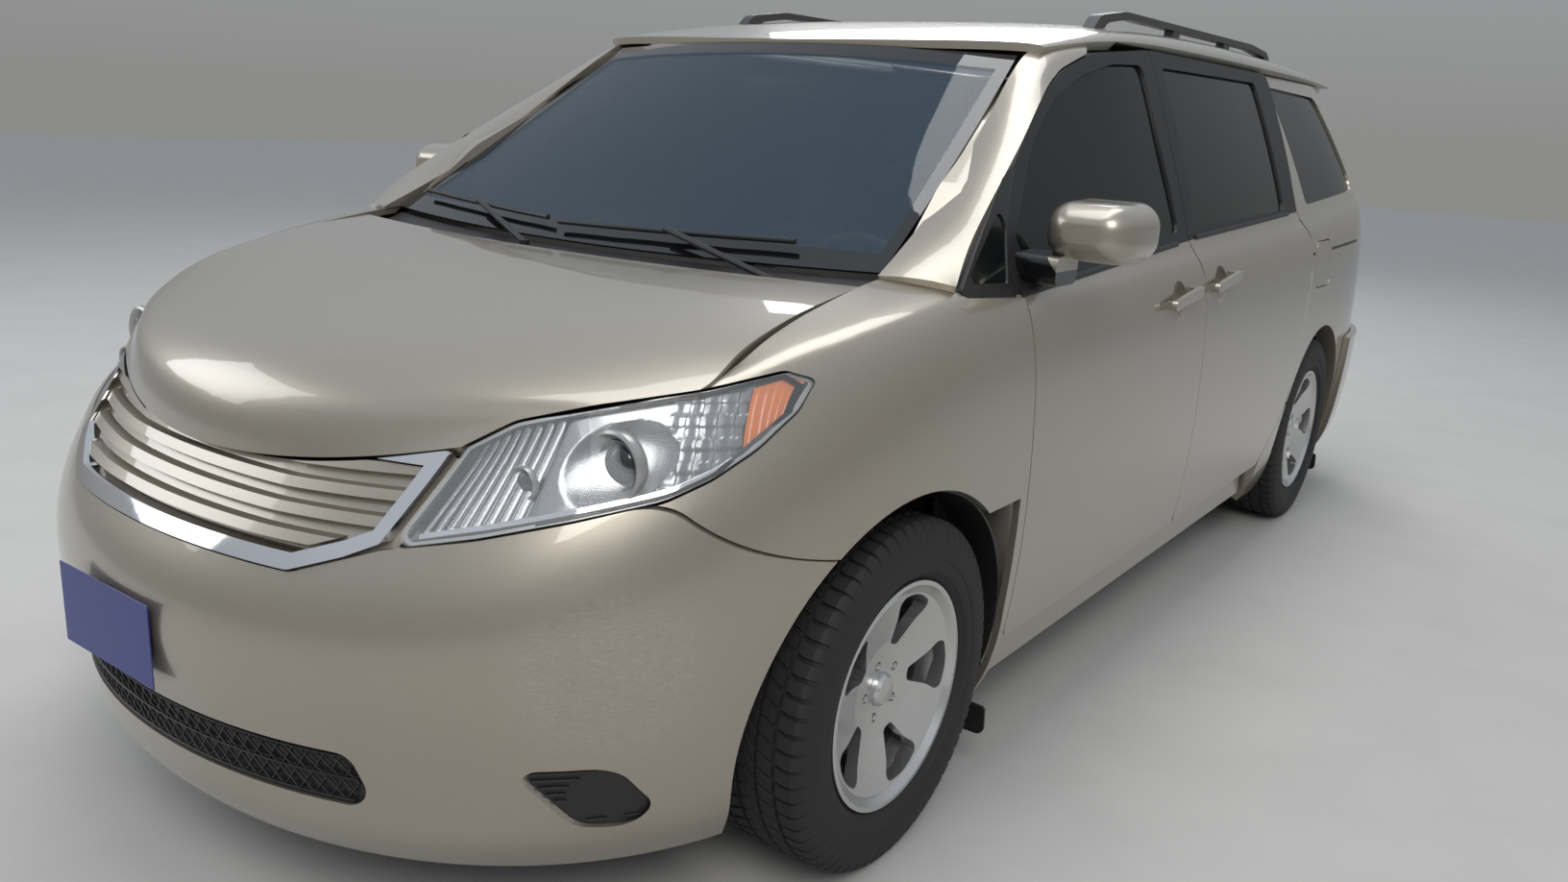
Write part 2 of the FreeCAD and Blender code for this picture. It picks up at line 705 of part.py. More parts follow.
# Pillar beside the windshield, which runs on between the roof's edge and the front door:
# (x, y, z at the glass, x, y, z at the door)
A_PILLAR = [
    (770, -1436, 1136, 912, -1380, 1128),
    (745, -1210, 1248, 880, -1262, 1221),
    (708, -930, 1428, 820, -962, 1400),
    (668, -655, 1609, 752, -688, 1546),
    (722, -450, 1634, 748, -500, 1604),
]
PILLAR_BULGE = 8.0
PILLAR_WALL = 34.0


def pillar_skin(across, row):
    keyed = [(i, *values) for i, values in enumerate(A_PILLAR)]
    column = [curve_through(keyed, 0, c)(row) for c in range(1, 7)]
    start, end = Vector(*column[:3]), Vector(*column[3:])
    bulge = PILLAR_BULGE * 4 * across * (1 - across) * min((end - start).Length / 100, 1)
    return start + (end - start) * across + Vector(0.5, -0.4, 0.7) * bulge


def wing_room(outer=-SEAT_GAP):
    return slab(side, spaced(-2190, FRONT_DOOR_Y - GAP + SEAT_GAP, 10), WING_ROWS, outer, PANEL + SEAT_GAP)


def side_frame_room():
    """Space of the door frame's outline, with the seat gap, before its openings are cut."""
    room = side_slab(FRAME_FRONT_Y, 300, door_wall(FRAME_GAP - SEAT_GAP), door_wall(FRAME_GAP + PILLAR))
    return room.common(through_side(FRAME_EDGE, SEAT_GAP))


def pillar_slab(outer, inner):
    last = len(A_PILLAR) - 1
    return slab(pillar_skin, spaced(0, 1, 5), spaced(0, last, 2 * last + 1), outer, inner)


def a_pillar():
    """Windshield pillar, clear of the door, the wing and the roof."""
    beam = pillar_slab(0, PILLAR_WALL)
    for room in (through_side(FRONT_DOOR, GAP), side_frame_room(), wing_room(), roof_slab(SEAT_GAP)):
        beam = beam.cut(room)
    return largest(beam)


# Fixed pane ahead of the front door: its outline and its frame's
QUARTERLIGHT = [(-1312, 1128, 12), (-1136, 1118, 12), (-1030, 1306, 30)]
QUARTERLIGHT_FRAME = [
    (-1352, 1106, 10), (FRONT_DOOR_Y - GAP, 1090), (FRONT_DOOR_Y - GAP, 1146, 60), (-1044, 1256, 200),
    (-945, 1348, 10), (-1020, 1350, 40),
]
QUARTERLIGHT_CORNERS = [(917, -1375, 1108), (924, -1120, 1092), (838, -1056, 1352), (824, -1000, 1352)]
QUARTERLIGHT_WALL = 60.0


def quarterlight_skin(along, up):
    low_front, low_rear, high_front, high_rear = (Vector(*corner) for corner in QUARTERLIGHT_CORNERS)
    low = low_front + (low_rear - low_front) * along
    high = high_front + (high_rear - high_front) * along
    return low + (high - low) * up


def quarterlight_slab(outer, inner):
    return slab(quarterlight_skin, spaced(-0.1, 1.1, 4), spaced(-0.1, 1.1, 5), outer, inner)


def quarterlight_pane():
    return quarterlight_slab(4, 4 + GLASS).common(through_side(QUARTERLIGHT, -SEAT_GAP))


def quarterlight_frame():
    """Black frame between the pillar, the wing and the door, seated on the door frame."""
    frame = quarterlight_slab(0, QUARTERLIGHT_WALL).common(through_side(QUARTERLIGHT_FRAME))
    rooms = [
        through_side(QUARTERLIGHT), through_side(FRONT_DOOR, GAP), side_frame_room(),
        pillar_slab(-40, PILLAR_WALL + SEAT_GAP),
    ]
    for room in rooms:
        frame = frame.cut(room)
    return largest(frame)


COWL = [
    (-1568, 1102, 758, -1480, 1101.5),
    (-1530, 1100, 758, -1440, 1106),
    (-1492, 1112, 758, -1394, 1122),
]


def cowl_panel():
    return slab(crowned(COWL), spaced(-0.99, 0.99, 9), spaced(0, 2, 5), 0, 12)


# Rear end
BUMPER_OUT = 25.0
TAIL_ROWS = [-0.97, -0.94, -0.88, -0.78, -0.6, -0.3]
TAIL_ROWS = TAIL_ROWS + [0.0] + [-x for x in reversed(TAIL_ROWS)]


def rear_bumper():
    """Wrap-round rear bumper that stands out from the liftgate."""
    shares = [0.55, 0.64, 0.72, 0.79, 0.85, 0.9, 0.935, 0.96]
    corner = slab(lambda s, up: tail_side(s, up, BUMPER_OUT), shares, LOWER_ROWS, 0, 24)
    middle = slab(lambda s, up: tail_back(s, up, BUMPER_OUT), TAIL_ROWS, LOWER_ROWS, 0, 24)
    cover = middle.fuse([corner, mirrored(corner)])
    cover = cover.common(through_back(REAR_BUMPER_TOP))
    for wheel in both(arch(REAR_AXLE_Y, ARCH_RADIUS)):
        cover = cover.cut(wheel)
    return cover


def gate_blank(outer, inner):
    rows = [row for row in WHOLE_ROWS if row > 0.3]
    across = [-0.92, -0.86, -0.74, -0.5, -0.25, 0, 0.25, 0.5, 0.74, 0.86, 0.92]
    return slab(tail_back, across, rows, outer, inner)


def liftgate():
    """Tailgate with its window opening and the roof spoiler above it."""
    panel = gate_blank(0, GATE_WALL).common(through_back(GATE)).cut(through_back(GATE_GLASS))
    across = [x * 0.93 for x in ROOF_ROWS]
    spoiler = slab(roof_at, across, spaced(ROOF_END_Y + GAP, SPOILER_END_Y, 5), 0, 40)
    corners = [(-720, 2000), (720, 2000), (690, SPOILER_END_Y - 4, 90), (-690, SPOILER_END_Y - 4, 90)]
    spoiler = spoiler.common(outline(corners, "Z", 1400, 1900))
    above = slab(roof, ROOF_ROWS, spaced(0.6, 1.0, 7), -40, ROOF_WALL + GAP)
    top = box((-1000, 1500, DOOR_TOP_Z - 2), (1000, ROOF_END_Y + GAP, 2000))
    return joined([panel.cut(above).cut(top), spoiler.common(through_back(GATE))])


def gate_glass():
    return gate_blank(GLASS_DEPTH, GLASS_DEPTH + GLASS).common(through_back(GATE_GLASS, -SEAT_GAP))


def quarter_shell(outer, inner):
    shares = [0, 0.15, 0.3, 0.45, 0.58, 0.68, 0.77, 0.84, 0.89, 0.925, 0.95, 0.968, 0.98]
    return slab(tail_side, shares, WHOLE_ROWS, outer, inner)


def quarter_glass():
    pane = quarter_shell(GLASS_DEPTH, GLASS_DEPTH + GLASS)
    return largest(pane.common(through_side(QUARTER_GLASS, -SEAT_GAP)))


def gate_jamb():
    """Strip behind the liftgate's side edge that it closes against."""
    strip = gate_blank(GATE_WALL + SEAT_GAP, GATE_WALL + 12)
    edge = through_back(GATE, 14).cut(through_back(GATE, -26))
    return strip.common(edge).common(box((300, 1500, 760), (1200, 3000, 1560)))


FUEL_LID = [(1262, 925, 25), (1262, 1092, 25), (1448, 1092, 25), (1448, 925, 25)]
FUEL_LID_WALL = 12.0
FUEL_LID_HINGE = (985.0, 1264.5)
FUEL_LID_PLAY = 1.0


def fuel_lid():
    return quarter_shell(0, FUEL_LID_WALL).common(through_side(FUEL_LID, -GAP / 2))


def swung_lid(turn):
    """The hinged edge of the lid with a little play, turned about its hinge."""
    lid = quarter_shell(-FUEL_LID_PLAY, FUEL_LID_WALL + FUEL_LID_PLAY)
    lid = lid.common(through_side(FUEL_LID, FUEL_LID_PLAY - GAP / 2))
    lid = lid.common(box((900, 1240, 900), (1100, 1300, 1120)))
    lid.rotate(Vector(*FUEL_LID_HINGE, 0), Vector(0, 0, -1), turn)
    return lid


def fuel_pocket():
    """Shallow recess for the lid and its swing, with a round hole for the filler behind it."""
    tray = quarter_shell(-20, FUEL_LID_WALL + SEAT_GAP).common(through_side(FUEL_LID, GAP / 2))
    middle_y = (FUEL_LID[0][0] + FUEL_LID[2][0]) / 2
    middle_z = (FUEL_LID[0][1] + FUEL_LID[1][1]) / 2
    for turn in spaced(4, 40, 10):
        tray = tray.fuse(swung_lid(turn))
    return tray.fuse(rod((HALF_WIDTH - 55, middle_y, middle_z), (HALF_WIDTH, middle_y, middle_z), 58))


def tail_lamp():
    return quarter_shell(0, 50).common(through_back(TAIL_LAMP)).cut(through_back(GATE, GAP))


# Lamps, grille and inserts of the nose
NOSE_ROWS = [0.55, 0.62, 0.7, 0.78, 0.86, 0.94, 1.02]
LENS = 4.0
LAMP_BOWL = 70.0
LAMP_BOWL_WALL = 5.0


def nose_slab(first, last, outer, inner, rows=NOSE_ROWS, count=13):
    return slab(nose, spaced(first, last, count), rows, outer, inner)


def lamp_lens():
    return nose_slab(24, 86, 0, LENS).common(through_front(LAMP))


def lamp_housing():
    """Open bowl behind the lens: a wall round the lamp's outline and a back plate."""
    depth = LENS + SEAT_GAP
    wall = nose_slab(24, 86, depth, depth + LAMP_BOWL).common(through_front(LAMP))
    wall = wall.cut(through_front(LAMP, -LAMP_BOWL_WALL))
    back = nose_slab(24, 86, depth + LAMP_BOWL - 6, depth + LAMP_BOWL - 1)
    back = back.common(through_front(LAMP, -LAMP_BOWL_WALL))
    return wall.fuse(back)


SURROUND = 24.0
BAR_COUNT = 5
BAR_HEIGHT = 15.0
BAR_PITCH = 34.0
FIRST_BAR_Z = 728.0


def grille_surround():
    frame = nose_slab(-36, 36, -5, PANEL, NOSE_ROWS, 15).common(through_front(GRILLE, -GAP))
    frame = frame.cut(through_front(GRILLE, -GAP - SURROUND))
    top = box((-330, NOSE_Y - 50, 800), (330, NOSE_BOW_START_Y, 1000))
    return frame.cut(top).cut(hood_clearance())


def hood_clearance():
    """Room that the hood's nose needs in the pieces below it."""
    return slab(hood_skin, spaced(-1.02, 1.02, 11), spaced(-0.1, 2.2, 6), -GAP, HOOD_WALL + GAP)


def grille_bars():
    """Curved bars on a back plate that also reaches behind the bumper's edge."""
    clear = hood_clearance()
    blank = nose_slab(-36, 36, 1, PANEL + 3, NOSE_ROWS, 15)
    blank = blank.common(through_front(GRILLE, -GAP - SURROUND - GAP))
    bars = []
    for i in range(BAR_COUNT):
        z = FIRST_BAR_Z + i * BAR_PITCH
        rise = 6 + i * 5
        dip = z + rise * 0.2
        lower = [(-560, z + rise, 0), (-250, dip, 500), (250, dip, 500), (560, z + rise, 0)]
        stripe = lower + [(x, b + BAR_HEIGHT, r) for x, b, r in reversed(lower)]
        bars += blank.common(through_front(stripe)).cut(clear).Solids
    back = nose_slab(-36, 36, PANEL + SEAT_GAP, PANEL + 9, NOSE_ROWS, 15).common(through_front(GRILLE, 10))
    for lamp in (LAMP, mirror_x(LAMP)):
        back = back.cut(through_front(lamp, SEAT_GAP))
    return joined(bars + [back.cut(clear)])


def bumper_inserts():
    """Mesh panel of the lower intake and the fog lamp blanks, set back in the bumper."""
    rows = [0.05, 0.12, 0.2, 0.28, 0.36, 0.45]
    mesh = nose_slab(-36, 36, PANEL - 6, PANEL + 8, rows).common(through_front(LOWER_INTAKE, -SEAT_GAP))
    fog = nose_slab(30, 80, PANEL - 8, PANEL + 10, rows).common(through_front(FOG_POCKET, -SEAT_GAP))
    return mesh.Solids + fog.Solids + mirrored(fog).Solids


PLATE_SIZE = (305.0, 152.0, 2.0)
PLATE_PLACE = (-68.0, 510.0)


def front_plate():
    """Blank plate on a holder that seats on the bumper."""
    x, z = PLATE_PLACE
    wide, high, thick = PLATE_SIZE
    plate = box((x - wide / 2, NOSE_Y, z - high / 2), (x + wide / 2, NOSE_Y + thick, z + high / 2))
    holder = box((x - 90, NOSE_Y + thick, z - 50), (x + 90, NOSE_Y + 60, z + 50))
    inside = slab(nose, spaced(-24, 24, 7), [0.3, 0.4, 0.5, 0.6, 0.7], -SEAT_GAP, 120)
    return joined([plate, holder.cut(inside)])


# Running gear
def revolved(profile, axle):
    """Solid of revolution about the wheel's axle from (x outward, radius) points."""
    x, y, z = axle
    wire = Part.makePolygon([Vector(x + a, y, z + r) for a, r in profile + profile[:1]])
    return Part.Face(wire).revolve(Vector(x, y, z), Vector(1, 0, 0), 360)


TREAD_GROOVES = (-62, -21, 21, 62)
GROOVE_WIDTH = 9.0
GROOVE_DEPTH = 8.0


def tyre(axle):
    half = TYRE_WIDTH / 2
    tread = [(half - 22, TYRE_RADIUS - 3)]
    for at in reversed(TREAD_GROOVES):
        for side_x, radius in ((1, 0), (1, -GROOVE_DEPTH), (-1, -GROOVE_DEPTH), (-1, 0)):
            tread.append((at + side_x * GROOVE_WIDTH / 2, TYRE_RADIUS + radius))
    tread.append((-half + 22, TYRE_RADIUS - 3))
    flange = RIM_WIDTH / 2 - FLANGE
    wall = [
        (half - 8, TYRE_RADIUS - 18), (half, TYRE_RADIUS - 62), (half - 4, BEAD_RADIUS + 30),
        (flange + 2, RIM_RADIUS + 3), (flange - SEAT_GAP, RIM_RADIUS), (flange - 4, BEAD_RADIUS),
    ]
    inner = [(flange - 22, BEAD_RADIUS), (half - 18, TYRE_RADIUS - 60), (half - 40, TYRE_RADIUS - 16)]
    profile = wall[::-1] + tread + [(-x, r) for x, r in wall] + [(-x, r) for x, r in inner]
    return revolved(profile + inner[::-1], axle)


SPOKE_PHASE = 18.0
SPOKE_WINDOW = [
    (-13, 92, 12), (13, 92, 12), (36, 148, 70), (63, 186, 22), (0, 205, 170), (-63, 186, 22), (-36, 148, 70),
]
RIM_HUB = [
    (HUB_FACE_OUT - 22, 34), (HUB_FACE_OUT - 22, 78), (HUB_FACE_OUT, 78), (HUB_FACE_OUT + 16, 70),
    (HUB_FACE_OUT + 16, 34),
]
RIM_CAP = [
    (HUB_FACE_OUT + 4, 0), (HUB_FACE_OUT + 4, 38), (HUB_FACE_OUT + 24, 33), (HUB_FACE_OUT + 31, 27),
    (HUB_FACE_OUT + 34, 0),
]


def rim(axle, side_sign):
    """Five-spoke alloy wheel that faces +X: barrel, dished face with five windows, hub and cap."""
    half = RIM_WIDTH / 2
    lip = RIM_RADIUS - SEAT_GAP
    seat = BEAD_RADIUS - SEAT_GAP
    barrel = [
        (half, lip), (half, lip - 9), (half - 16, 208), (half - 20, 205), (30, 192), (-half + 12, 198),
        (-half, lip - 9), (-half, lip), (-half + FLANGE, lip), (-half + FLANGE + 3, seat),
        (-half + 40, seat), (-half + 52, 203), (half - 52, 203), (half - 40, seat),
        (half - FLANGE - 3, seat), (half - FLANGE, lip),
    ]
    face = [
        (HUB_FACE_OUT + 16, 40), (HUB_FACE_OUT + 24, 100), (half - 22, 160), (half - 10, 204),
        (half - 16, 210), (half - 44, 206), (half - 50, 150), (HUB_FACE_OUT - 6, 90), (HUB_FACE_OUT - 16, 40),
    ]
    window = outline(SPOKE_WINDOW, "X", -half, half)
    disc = revolved(face, (0, 0, 0))
    for i in range(SPOKES):
        turned = window.copy()
        turned.rotate(Vector(0, 0, 0), Vector(1, 0, 0), SPOKE_PHASE + 360 / SPOKES * (i + 0.5))
        disc = disc.cut(turned)
    wheel = joined([disc] + [revolved(rows, (0, 0, 0)) for rows in (barrel, RIM_HUB, RIM_CAP)])
    for i in range(BOLT_COUNT):
        turn = math.radians(SPOKE_PHASE + 360 / BOLT_COUNT * i)
        y, z = -BOLT_CIRCLE_RADIUS * math.sin(turn), BOLT_CIRCLE_RADIUS * math.cos(turn)
        wheel = wheel.cut(rod((HUB_FACE_OUT - 60, y, z), (HUB_FACE_OUT + 90, y, z), BOLT_RADIUS))
    wheel = wheel.cut(rod((-200, 0, 0), (HUB_FACE_OUT + 2, 0, 0), HUB_BORE_RADIUS))
    if side_sign < 0:
        wheel = mirrored(wheel)
    wheel.translate(Vector(*axle))
    return wheel


KING_TOP = (600.0, 900.0)
KING_BALL = (770.0, 225.0)


def king_x(z):
    """Distance of the steering axis from the middle at height z."""
    return KING_TOP[0] + (KING_BALL[0] - KING_TOP[0]) * (KING_TOP[1] - z) / (KING_TOP[1] - KING_BALL[1])


HUB_CARRIER_X = HALF_TRACK - 60.0
DISC_RADIUS = 148.0
STUB_CLEARANCE = 0.4


def brake_disc(axle_y):
    """Disc and wheel hub with its stub, which carries the rim; in one solid with the carrier."""
    face = HALF_TRACK + HUB_FACE_OUT - 22 - SEAT_GAP
    hub = rod((HUB_CARRIER_X - 20, axle_y, AXLE_Z), (face, axle_y, AXLE_Z), 70)
    plate = rod((face - 26, axle_y, AXLE_Z), (face - 4, axle_y, AXLE_Z), DISC_RADIUS)
    stub = rod((face, axle_y, AXLE_Z), (face + 20, axle_y, AXLE_Z), HUB_BORE_RADIUS - STUB_CLEARANCE)
    caliper = outline(
        [
            (axle_y + 95, AXLE_Z - 70, 20), (axle_y + 95, AXLE_Z + 70, 20), (axle_y + 165, AXLE_Z + 55, 20),
            (axle_y + 165, AXLE_Z - 55, 20),
        ],
        "X", face - 70, face + 8,
    )
    return [hub, plate, stub, caliper]


def knuckle():
    """Steered hub carrier with its strut, whose axis is the steering axis."""
    y = FRONT_AXLE_Y
    top, low = 880.0, 470.0
    strut = rod((king_x(low), y, low), (king_x(top), y, top), 26)
    seat_plate = rod((king_x(660), y, 660), (king_x(668), y, 668), 66)
    spring = rod((king_x(668), y, 668), (king_x(850), y, 850), 56)
    clamp = box((king_x(low) - 30, y - 34, low - 20), (HUB_CARRIER_X + 10, y + 34, low + 70))
    post = box((HUB_CARRIER_X - 44, y - 34, KING_BALL[1] + 20), (HUB_CARRIER_X + 4, y + 34, low + 20))
    ball = rod((king_x(255), y, 255), (king_x(228), y, 228), 15)
    foot = box((king_x(260) - 30, y - 30, 240), (HUB_CARRIER_X + 4, y + 30, 275))
    arm = box((HUB_CARRIER_X - 60, y + 20, 300), (HUB_CARRIER_X - 20, y + 150, 324))
    return joined(brake_disc(y) + [strut, seat_plate, spring, clamp, post, ball, foot, arm])


def front_subframe():
    """Cross member with the lower arms that carry the ball joints."""
    y = FRONT_AXLE_Y
    beam = box((-480, y + 40, 200), (480, y + 200, 262))
    legs = [box((x - 40, y - 360, 215), (x + 40, y + 60, 262)) for x in (-380, 380)]
    front = box((-420, y - 400, 215), (420, y - 340, 262))
    arm_points = [
        (400, y + 190, 20), (400, y - 40, 20), (740, y - 30, 20), (805, y - 25, 25), (805, y + 28, 25),
        (700, y + 60, 60), (470, y + 190, 20),
    ]
    arms = both(outline(arm_points, "Z", 196, 224))
    top = RAIL_Z[0] - SEAT_GAP
    rises = [box((x - 24, y + 100, 255), (x + 24, y + 190, top)) for x in (-RAIL_MIDDLE, RAIL_MIDDLE)]
    rack = rod((-330, y + 175, 300), (330, y + 175, 300), 28)
    stands = [box((x - 20, y + 150, 250), (x + 20, y + 198, 300)) for x in (-200, 200)]
    mounts = [rod((x, y - 370, 250), (x, y - 370, ENGINE_BOTTOM_Z - SEAT_GAP), 38) for x in (-220, 220)]
    return joined([beam, front] + legs + arms + rises + [rack] + stands + mounts)


FLOOR_Z = 262.0
FLOOR_WALL = 40.0
RAISED_Z = 400.0
FIREWALL_Y = -1146.0
FIREWALL_TOP_Z = 1028.0
RAIL_X = (400.0, 490.0)
RAIL_Z = (430.0, 540.0)
RAIL_MIDDLE = (RAIL_X[0] + RAIL_X[1]) / 2
REAR_FLOOR_HALF = 600.0
FLOOR_STEP_Y = 985.0


def floor_pan():
    """Floor that steps up over the rear axle, firewall, load well and front rails as one welded body."""
    y0, y1, wall = FIREWALL_Y, 2350.0, FLOOR_WALL
    half = CABIN_HALF - SEAT_GAP
    low, high = FLOOR_Z, RAISED_Z
    profile = [
        (y0, low), (FLOOR_STEP_Y, low), (FLOOR_STEP_Y, high), (1560, high), (1620, low), (y1, low), (y1, 560),
        (y1 - wall, 560), (y1 - wall, low + wall), (1650, low + wall), (1590, high + wall),
        (FLOOR_STEP_Y - wall, high + wall), (FLOOR_STEP_Y - wall, low + wall),
        (y0 + wall, low + wall), (y0 + wall, FIREWALL_TOP_Z), (y0, FIREWALL_TOP_Z),
    ]
    body = outline(profile, "X", -half, half)
    for sign in (-1, 1):
        inner, outer = sorted((sign * REAR_FLOOR_HALF, sign * 1000))
        body = body.cut(box((inner, REAR_AXLE_Y - ARCH_RADIUS - 30, 0), (outer, 3000, 2000)))
        inner, outer = sorted((sign * RAIL_X[0], sign * RAIL_X[1]))
        body = body.fuse(box((inner, -2370, RAIL_Z[0]), (outer, y0 + 5, RAIL_Z[1])))
        inner, outer = sorted((sign * (CABIN_HALF - 40), sign * 1000))
        body = body.cut(box((inner, y0 - 10, 560), (outer, 0, 2000)))
    body = cut_for_steering(body)
    return joined([body, box((-490, -2385, RAIL_Z[0]), (490, -2350, RAIL_Z[1]))])


def radiator_support():
    """Frame across the nose that carries the radiator, the lamps and the hood's stops."""
    top = box((-780, -2262, 770), (780, -2226, 806))
    outside = nose_slab(-80, 80, -60, LENS + LAMP_BOWL + 2 * SEAT_GAP, NOSE_ROWS, 17)
    posts = [box((x - 16, -2262, RAIL_Z[1]), (x + 16, -2226, 780)) for x in (-RAIL_MIDDLE, RAIL_MIDDLE)]
    stops = [rod((x, -2244, 800), (x, -2244, 985), 14) for x in (-300, 300)]
    hood_room = slab(hood_skin, spaced(-0.8, 0.8, 9), spaced(1.5, 5, 7), -60, HOOD_WALL + SEAT_GAP)
    return joined([largest(top.cut(outside))] + posts + [stop.cut(hood_room) for stop in stops])




STEER_LOCK = 38.0
STEER_STEPS = 20


def cut_for_steering(shape):
    """A shape without the room that both front tyres sweep from lock to lock."""
    ball, top = (Vector(x, FRONT_AXLE_Y, z) for x, z in (KING_BALL, KING_TOP))
    half = TYRE_WIDTH / 2 + GAP
    for turn in spaced(-STEER_LOCK, STEER_LOCK, STEER_STEPS):
        start, end = ((HALF_TRACK + reach, FRONT_AXLE_Y, AXLE_Z) for reach in (-half, half))
        tyre = rod(start, end, TYRE_RADIUS + GAP)
        tyre.rotate(ball, top - ball, turn)
        shape = shape.cut(tyre).cut(mirrored(tyre))
    return shape


LINER = (ARCH_RADIUS - 6, ARCH_RADIUS - 1)
LINER_LOW_Z = AXLE_Z - 80


def wheel_liner(axle_y, function, first, last, outer_depth, inner_depth):
    """Arch liner that follows the inside of the skin, open below the axle's height."""
    ring = arch(axle_y, LINER[1]).cut(arch(axle_y, LINER[0]))
    blank = slab(function, spaced(first, last, 9), LOWER_ROWS[:-1], outer_depth, inner_depth)
    return ring.common(blank).cut(box((0, -3000, -100), (2000, 3000, LINER_LOW_Z)))


def front_liner():
    liner = wheel_liner(FRONT_AXLE_Y, side, -2020, -1120, PANEL + SEAT_GAP, 235)
    liner = liner.cut(through_side(FRONT_DOOR, GAP).common(box((840, -3000, 0), (1300, 0, 2000))))
    return largest(cut_for_steering(liner))


def rear_liner():
    liner = wheel_liner(REAR_AXLE_Y, whole_side_rear, 1020, 1930, QUARTER_WALL + SEAT_GAP, 300)
    return largest(liner.cut(through_side(SLIDING_DOOR, GAP).common(box((840, 0, 0), (1300, 3000, 2000)))))


def whole_side_rear(y, up):
    half, reach = tail_size(up)
    share = max((y - TAIL_BOW_START_Y) / reach, 0)
    return Vector(half * (1 - share ** TAIL_POWERS[0]) ** (1 / TAIL_POWERS[1]), y, tail_z(y, up))


def rear_axle():
    """Torsion beam with trailing arms and the fixed stubs that the rear wheels spin on."""
    y = REAR_AXLE_Y
    section = [(y - 160, 300, 20), (y - 160, 372, 20), (y - 60, 372, 20), (y - 60, 300, 20)]
    beam = outline(section, "X", -580, 580)
    solids = [beam]
    for sign in (-1, 1):
        arm = box((560, FLOOR_STEP_Y + SEAT_GAP, 290), (592, y + 40, 370))
        carrier = box((560, y - 50, AXLE_Z - 50), (HUB_CARRIER_X - 15, y + 50, AXLE_Z + 40))
        damper = rod((655, y + 70, 330), (655, y + 170, 640), 24)
        foot = box((560, y + 30, 300), (680, y + 90, 350))
        spring = rod((520, y - 110, 365), (520, y - 110, RAISED_Z - SEAT_GAP), 50)
        parts = [arm, carrier, damper, foot, spring] + brake_disc(y)
        solids += parts if sign > 0 else [mirrored(p) for p in parts]
    return joined(solids)


ENGINE_BOTTOM_Z = 330.0


def engine():
    return outline(
        [(-2160, ENGINE_BOTTOM_Z, 40), (-2160, 860, 60), (-2000, 940, 60), (-1640, 960, 60), (-1540, 800, 60),
         (-1540, ENGINE_BOTTOM_Z, 40)],
        "X", -340, 360,
    )


def radiator():
    half = RAIL_X[0] - SEAT_GAP
    return box((-half, -2264, 350), (half, -2226, 770 - SEAT_GAP))


MUD_FLAP_TOP_Z = LINER_LOW_Z - SEAT_GAP
MUD_FLAP_OUT = 398.0
MUD_FLAP = [
    (850, 105, 10), (965, 105, 20), (962, 174, 10), (895, 176), (895, MUD_FLAP_TOP_Z), (850, MUD_FLAP_TOP_Z),
]


def mud_flap(axle_y):
    """Flap that hangs behind a wheel, from the end of the arch liner."""
    return outline(MUD_FLAP, "Y", axle_y + MUD_FLAP_OUT, axle_y + MUD_FLAP_OUT + 6)


def rear_flap():
    return largest(mud_flap(REAR_AXLE_Y).cut(quarter_shell(-20, QUARTER_WALL + SEAT_GAP)))


EXHAUST_Z = 205.0
EXHAUST_ROUTE = [(-120, -1300), (-120, 1500), (-300, 1760), (-560, 1860), (-690, 2000)]


def exhaust():
    """Pipe with a middle box, a rear silencer beside the load well and a tail pipe."""
    points = [Vector(x, y, EXHAUST_Z) for x, y in EXHAUST_ROUTE]
    pieces = [rod(start, end, 25) for start, end in zip(points, points[1:])]
    pieces += [Part.makeSphere(25, point) for point in points[1:-1]]
    middle = rod((-120, 250, EXHAUST_Z), (-120, 620, EXHAUST_Z), 52)
    last = points[-1]
    silencer = outline([(1985, 150, 60), (1985, 330, 60), (2300, 330, 60), (2300, 150, 60)], "X", -770, -622)
    tail_pipe = rod((last.x, 2280, EXHAUST_Z - 28), (last.x, 2430, EXHAUST_Z - 60), 22)
    return joined(pieces + [middle, silencer, tail_pipe])


def fuel_tank():
    plan = [(-50, 150, 60), (-50, 950, 60), (560, 950, 60), (560, 150, 60)]
    return outline(plan, "Z", 175, FLOOR_Z - SEAT_GAP)


# Cabin
DRIVER_X = 370.0


WHEEL_CENTRE = Vector(DRIVER_X, -800.0, 968.0)
WHEEL_AXIS = Vector(0, 170.0, 75.0).normalize()


def dashboard():
    front = FIREWALL_Y + FLOOR_WALL + SEAT_GAP
    profile = [
        (-1400, 1052, 8), (-1180, 1078, 60), (-960, 1050, 50), (-905, 960, 60), (-930, 760, 80),
        (-1040, 640, 60), (front, 600, 20), (front, FIREWALL_TOP_Z + SEAT_GAP),
        (-1400, FIREWALL_TOP_Z + SEAT_GAP),
    ]
    body = outline(profile, "X", -740, 740)
    low = FLOOR_Z + FLOOR_WALL + SEAT_GAP
    profile = [
        (-1000, low, 10), (-1000, 800, 40), (-860, 720, 60), (-700, 560, 40), (-420, 540, 40),
        (-420, low, 10),
    ]
    console = outline(profile, "X", -110, 110)
    column = rod(WHEEL_CENTRE - WHEEL_AXIS * 220, WHEEL_CENTRE - WHEEL_AXIS * (26 + SEAT_GAP), 34)
    return joined([body, console, column])


WHEEL_RIM = (190.0, 15.0)


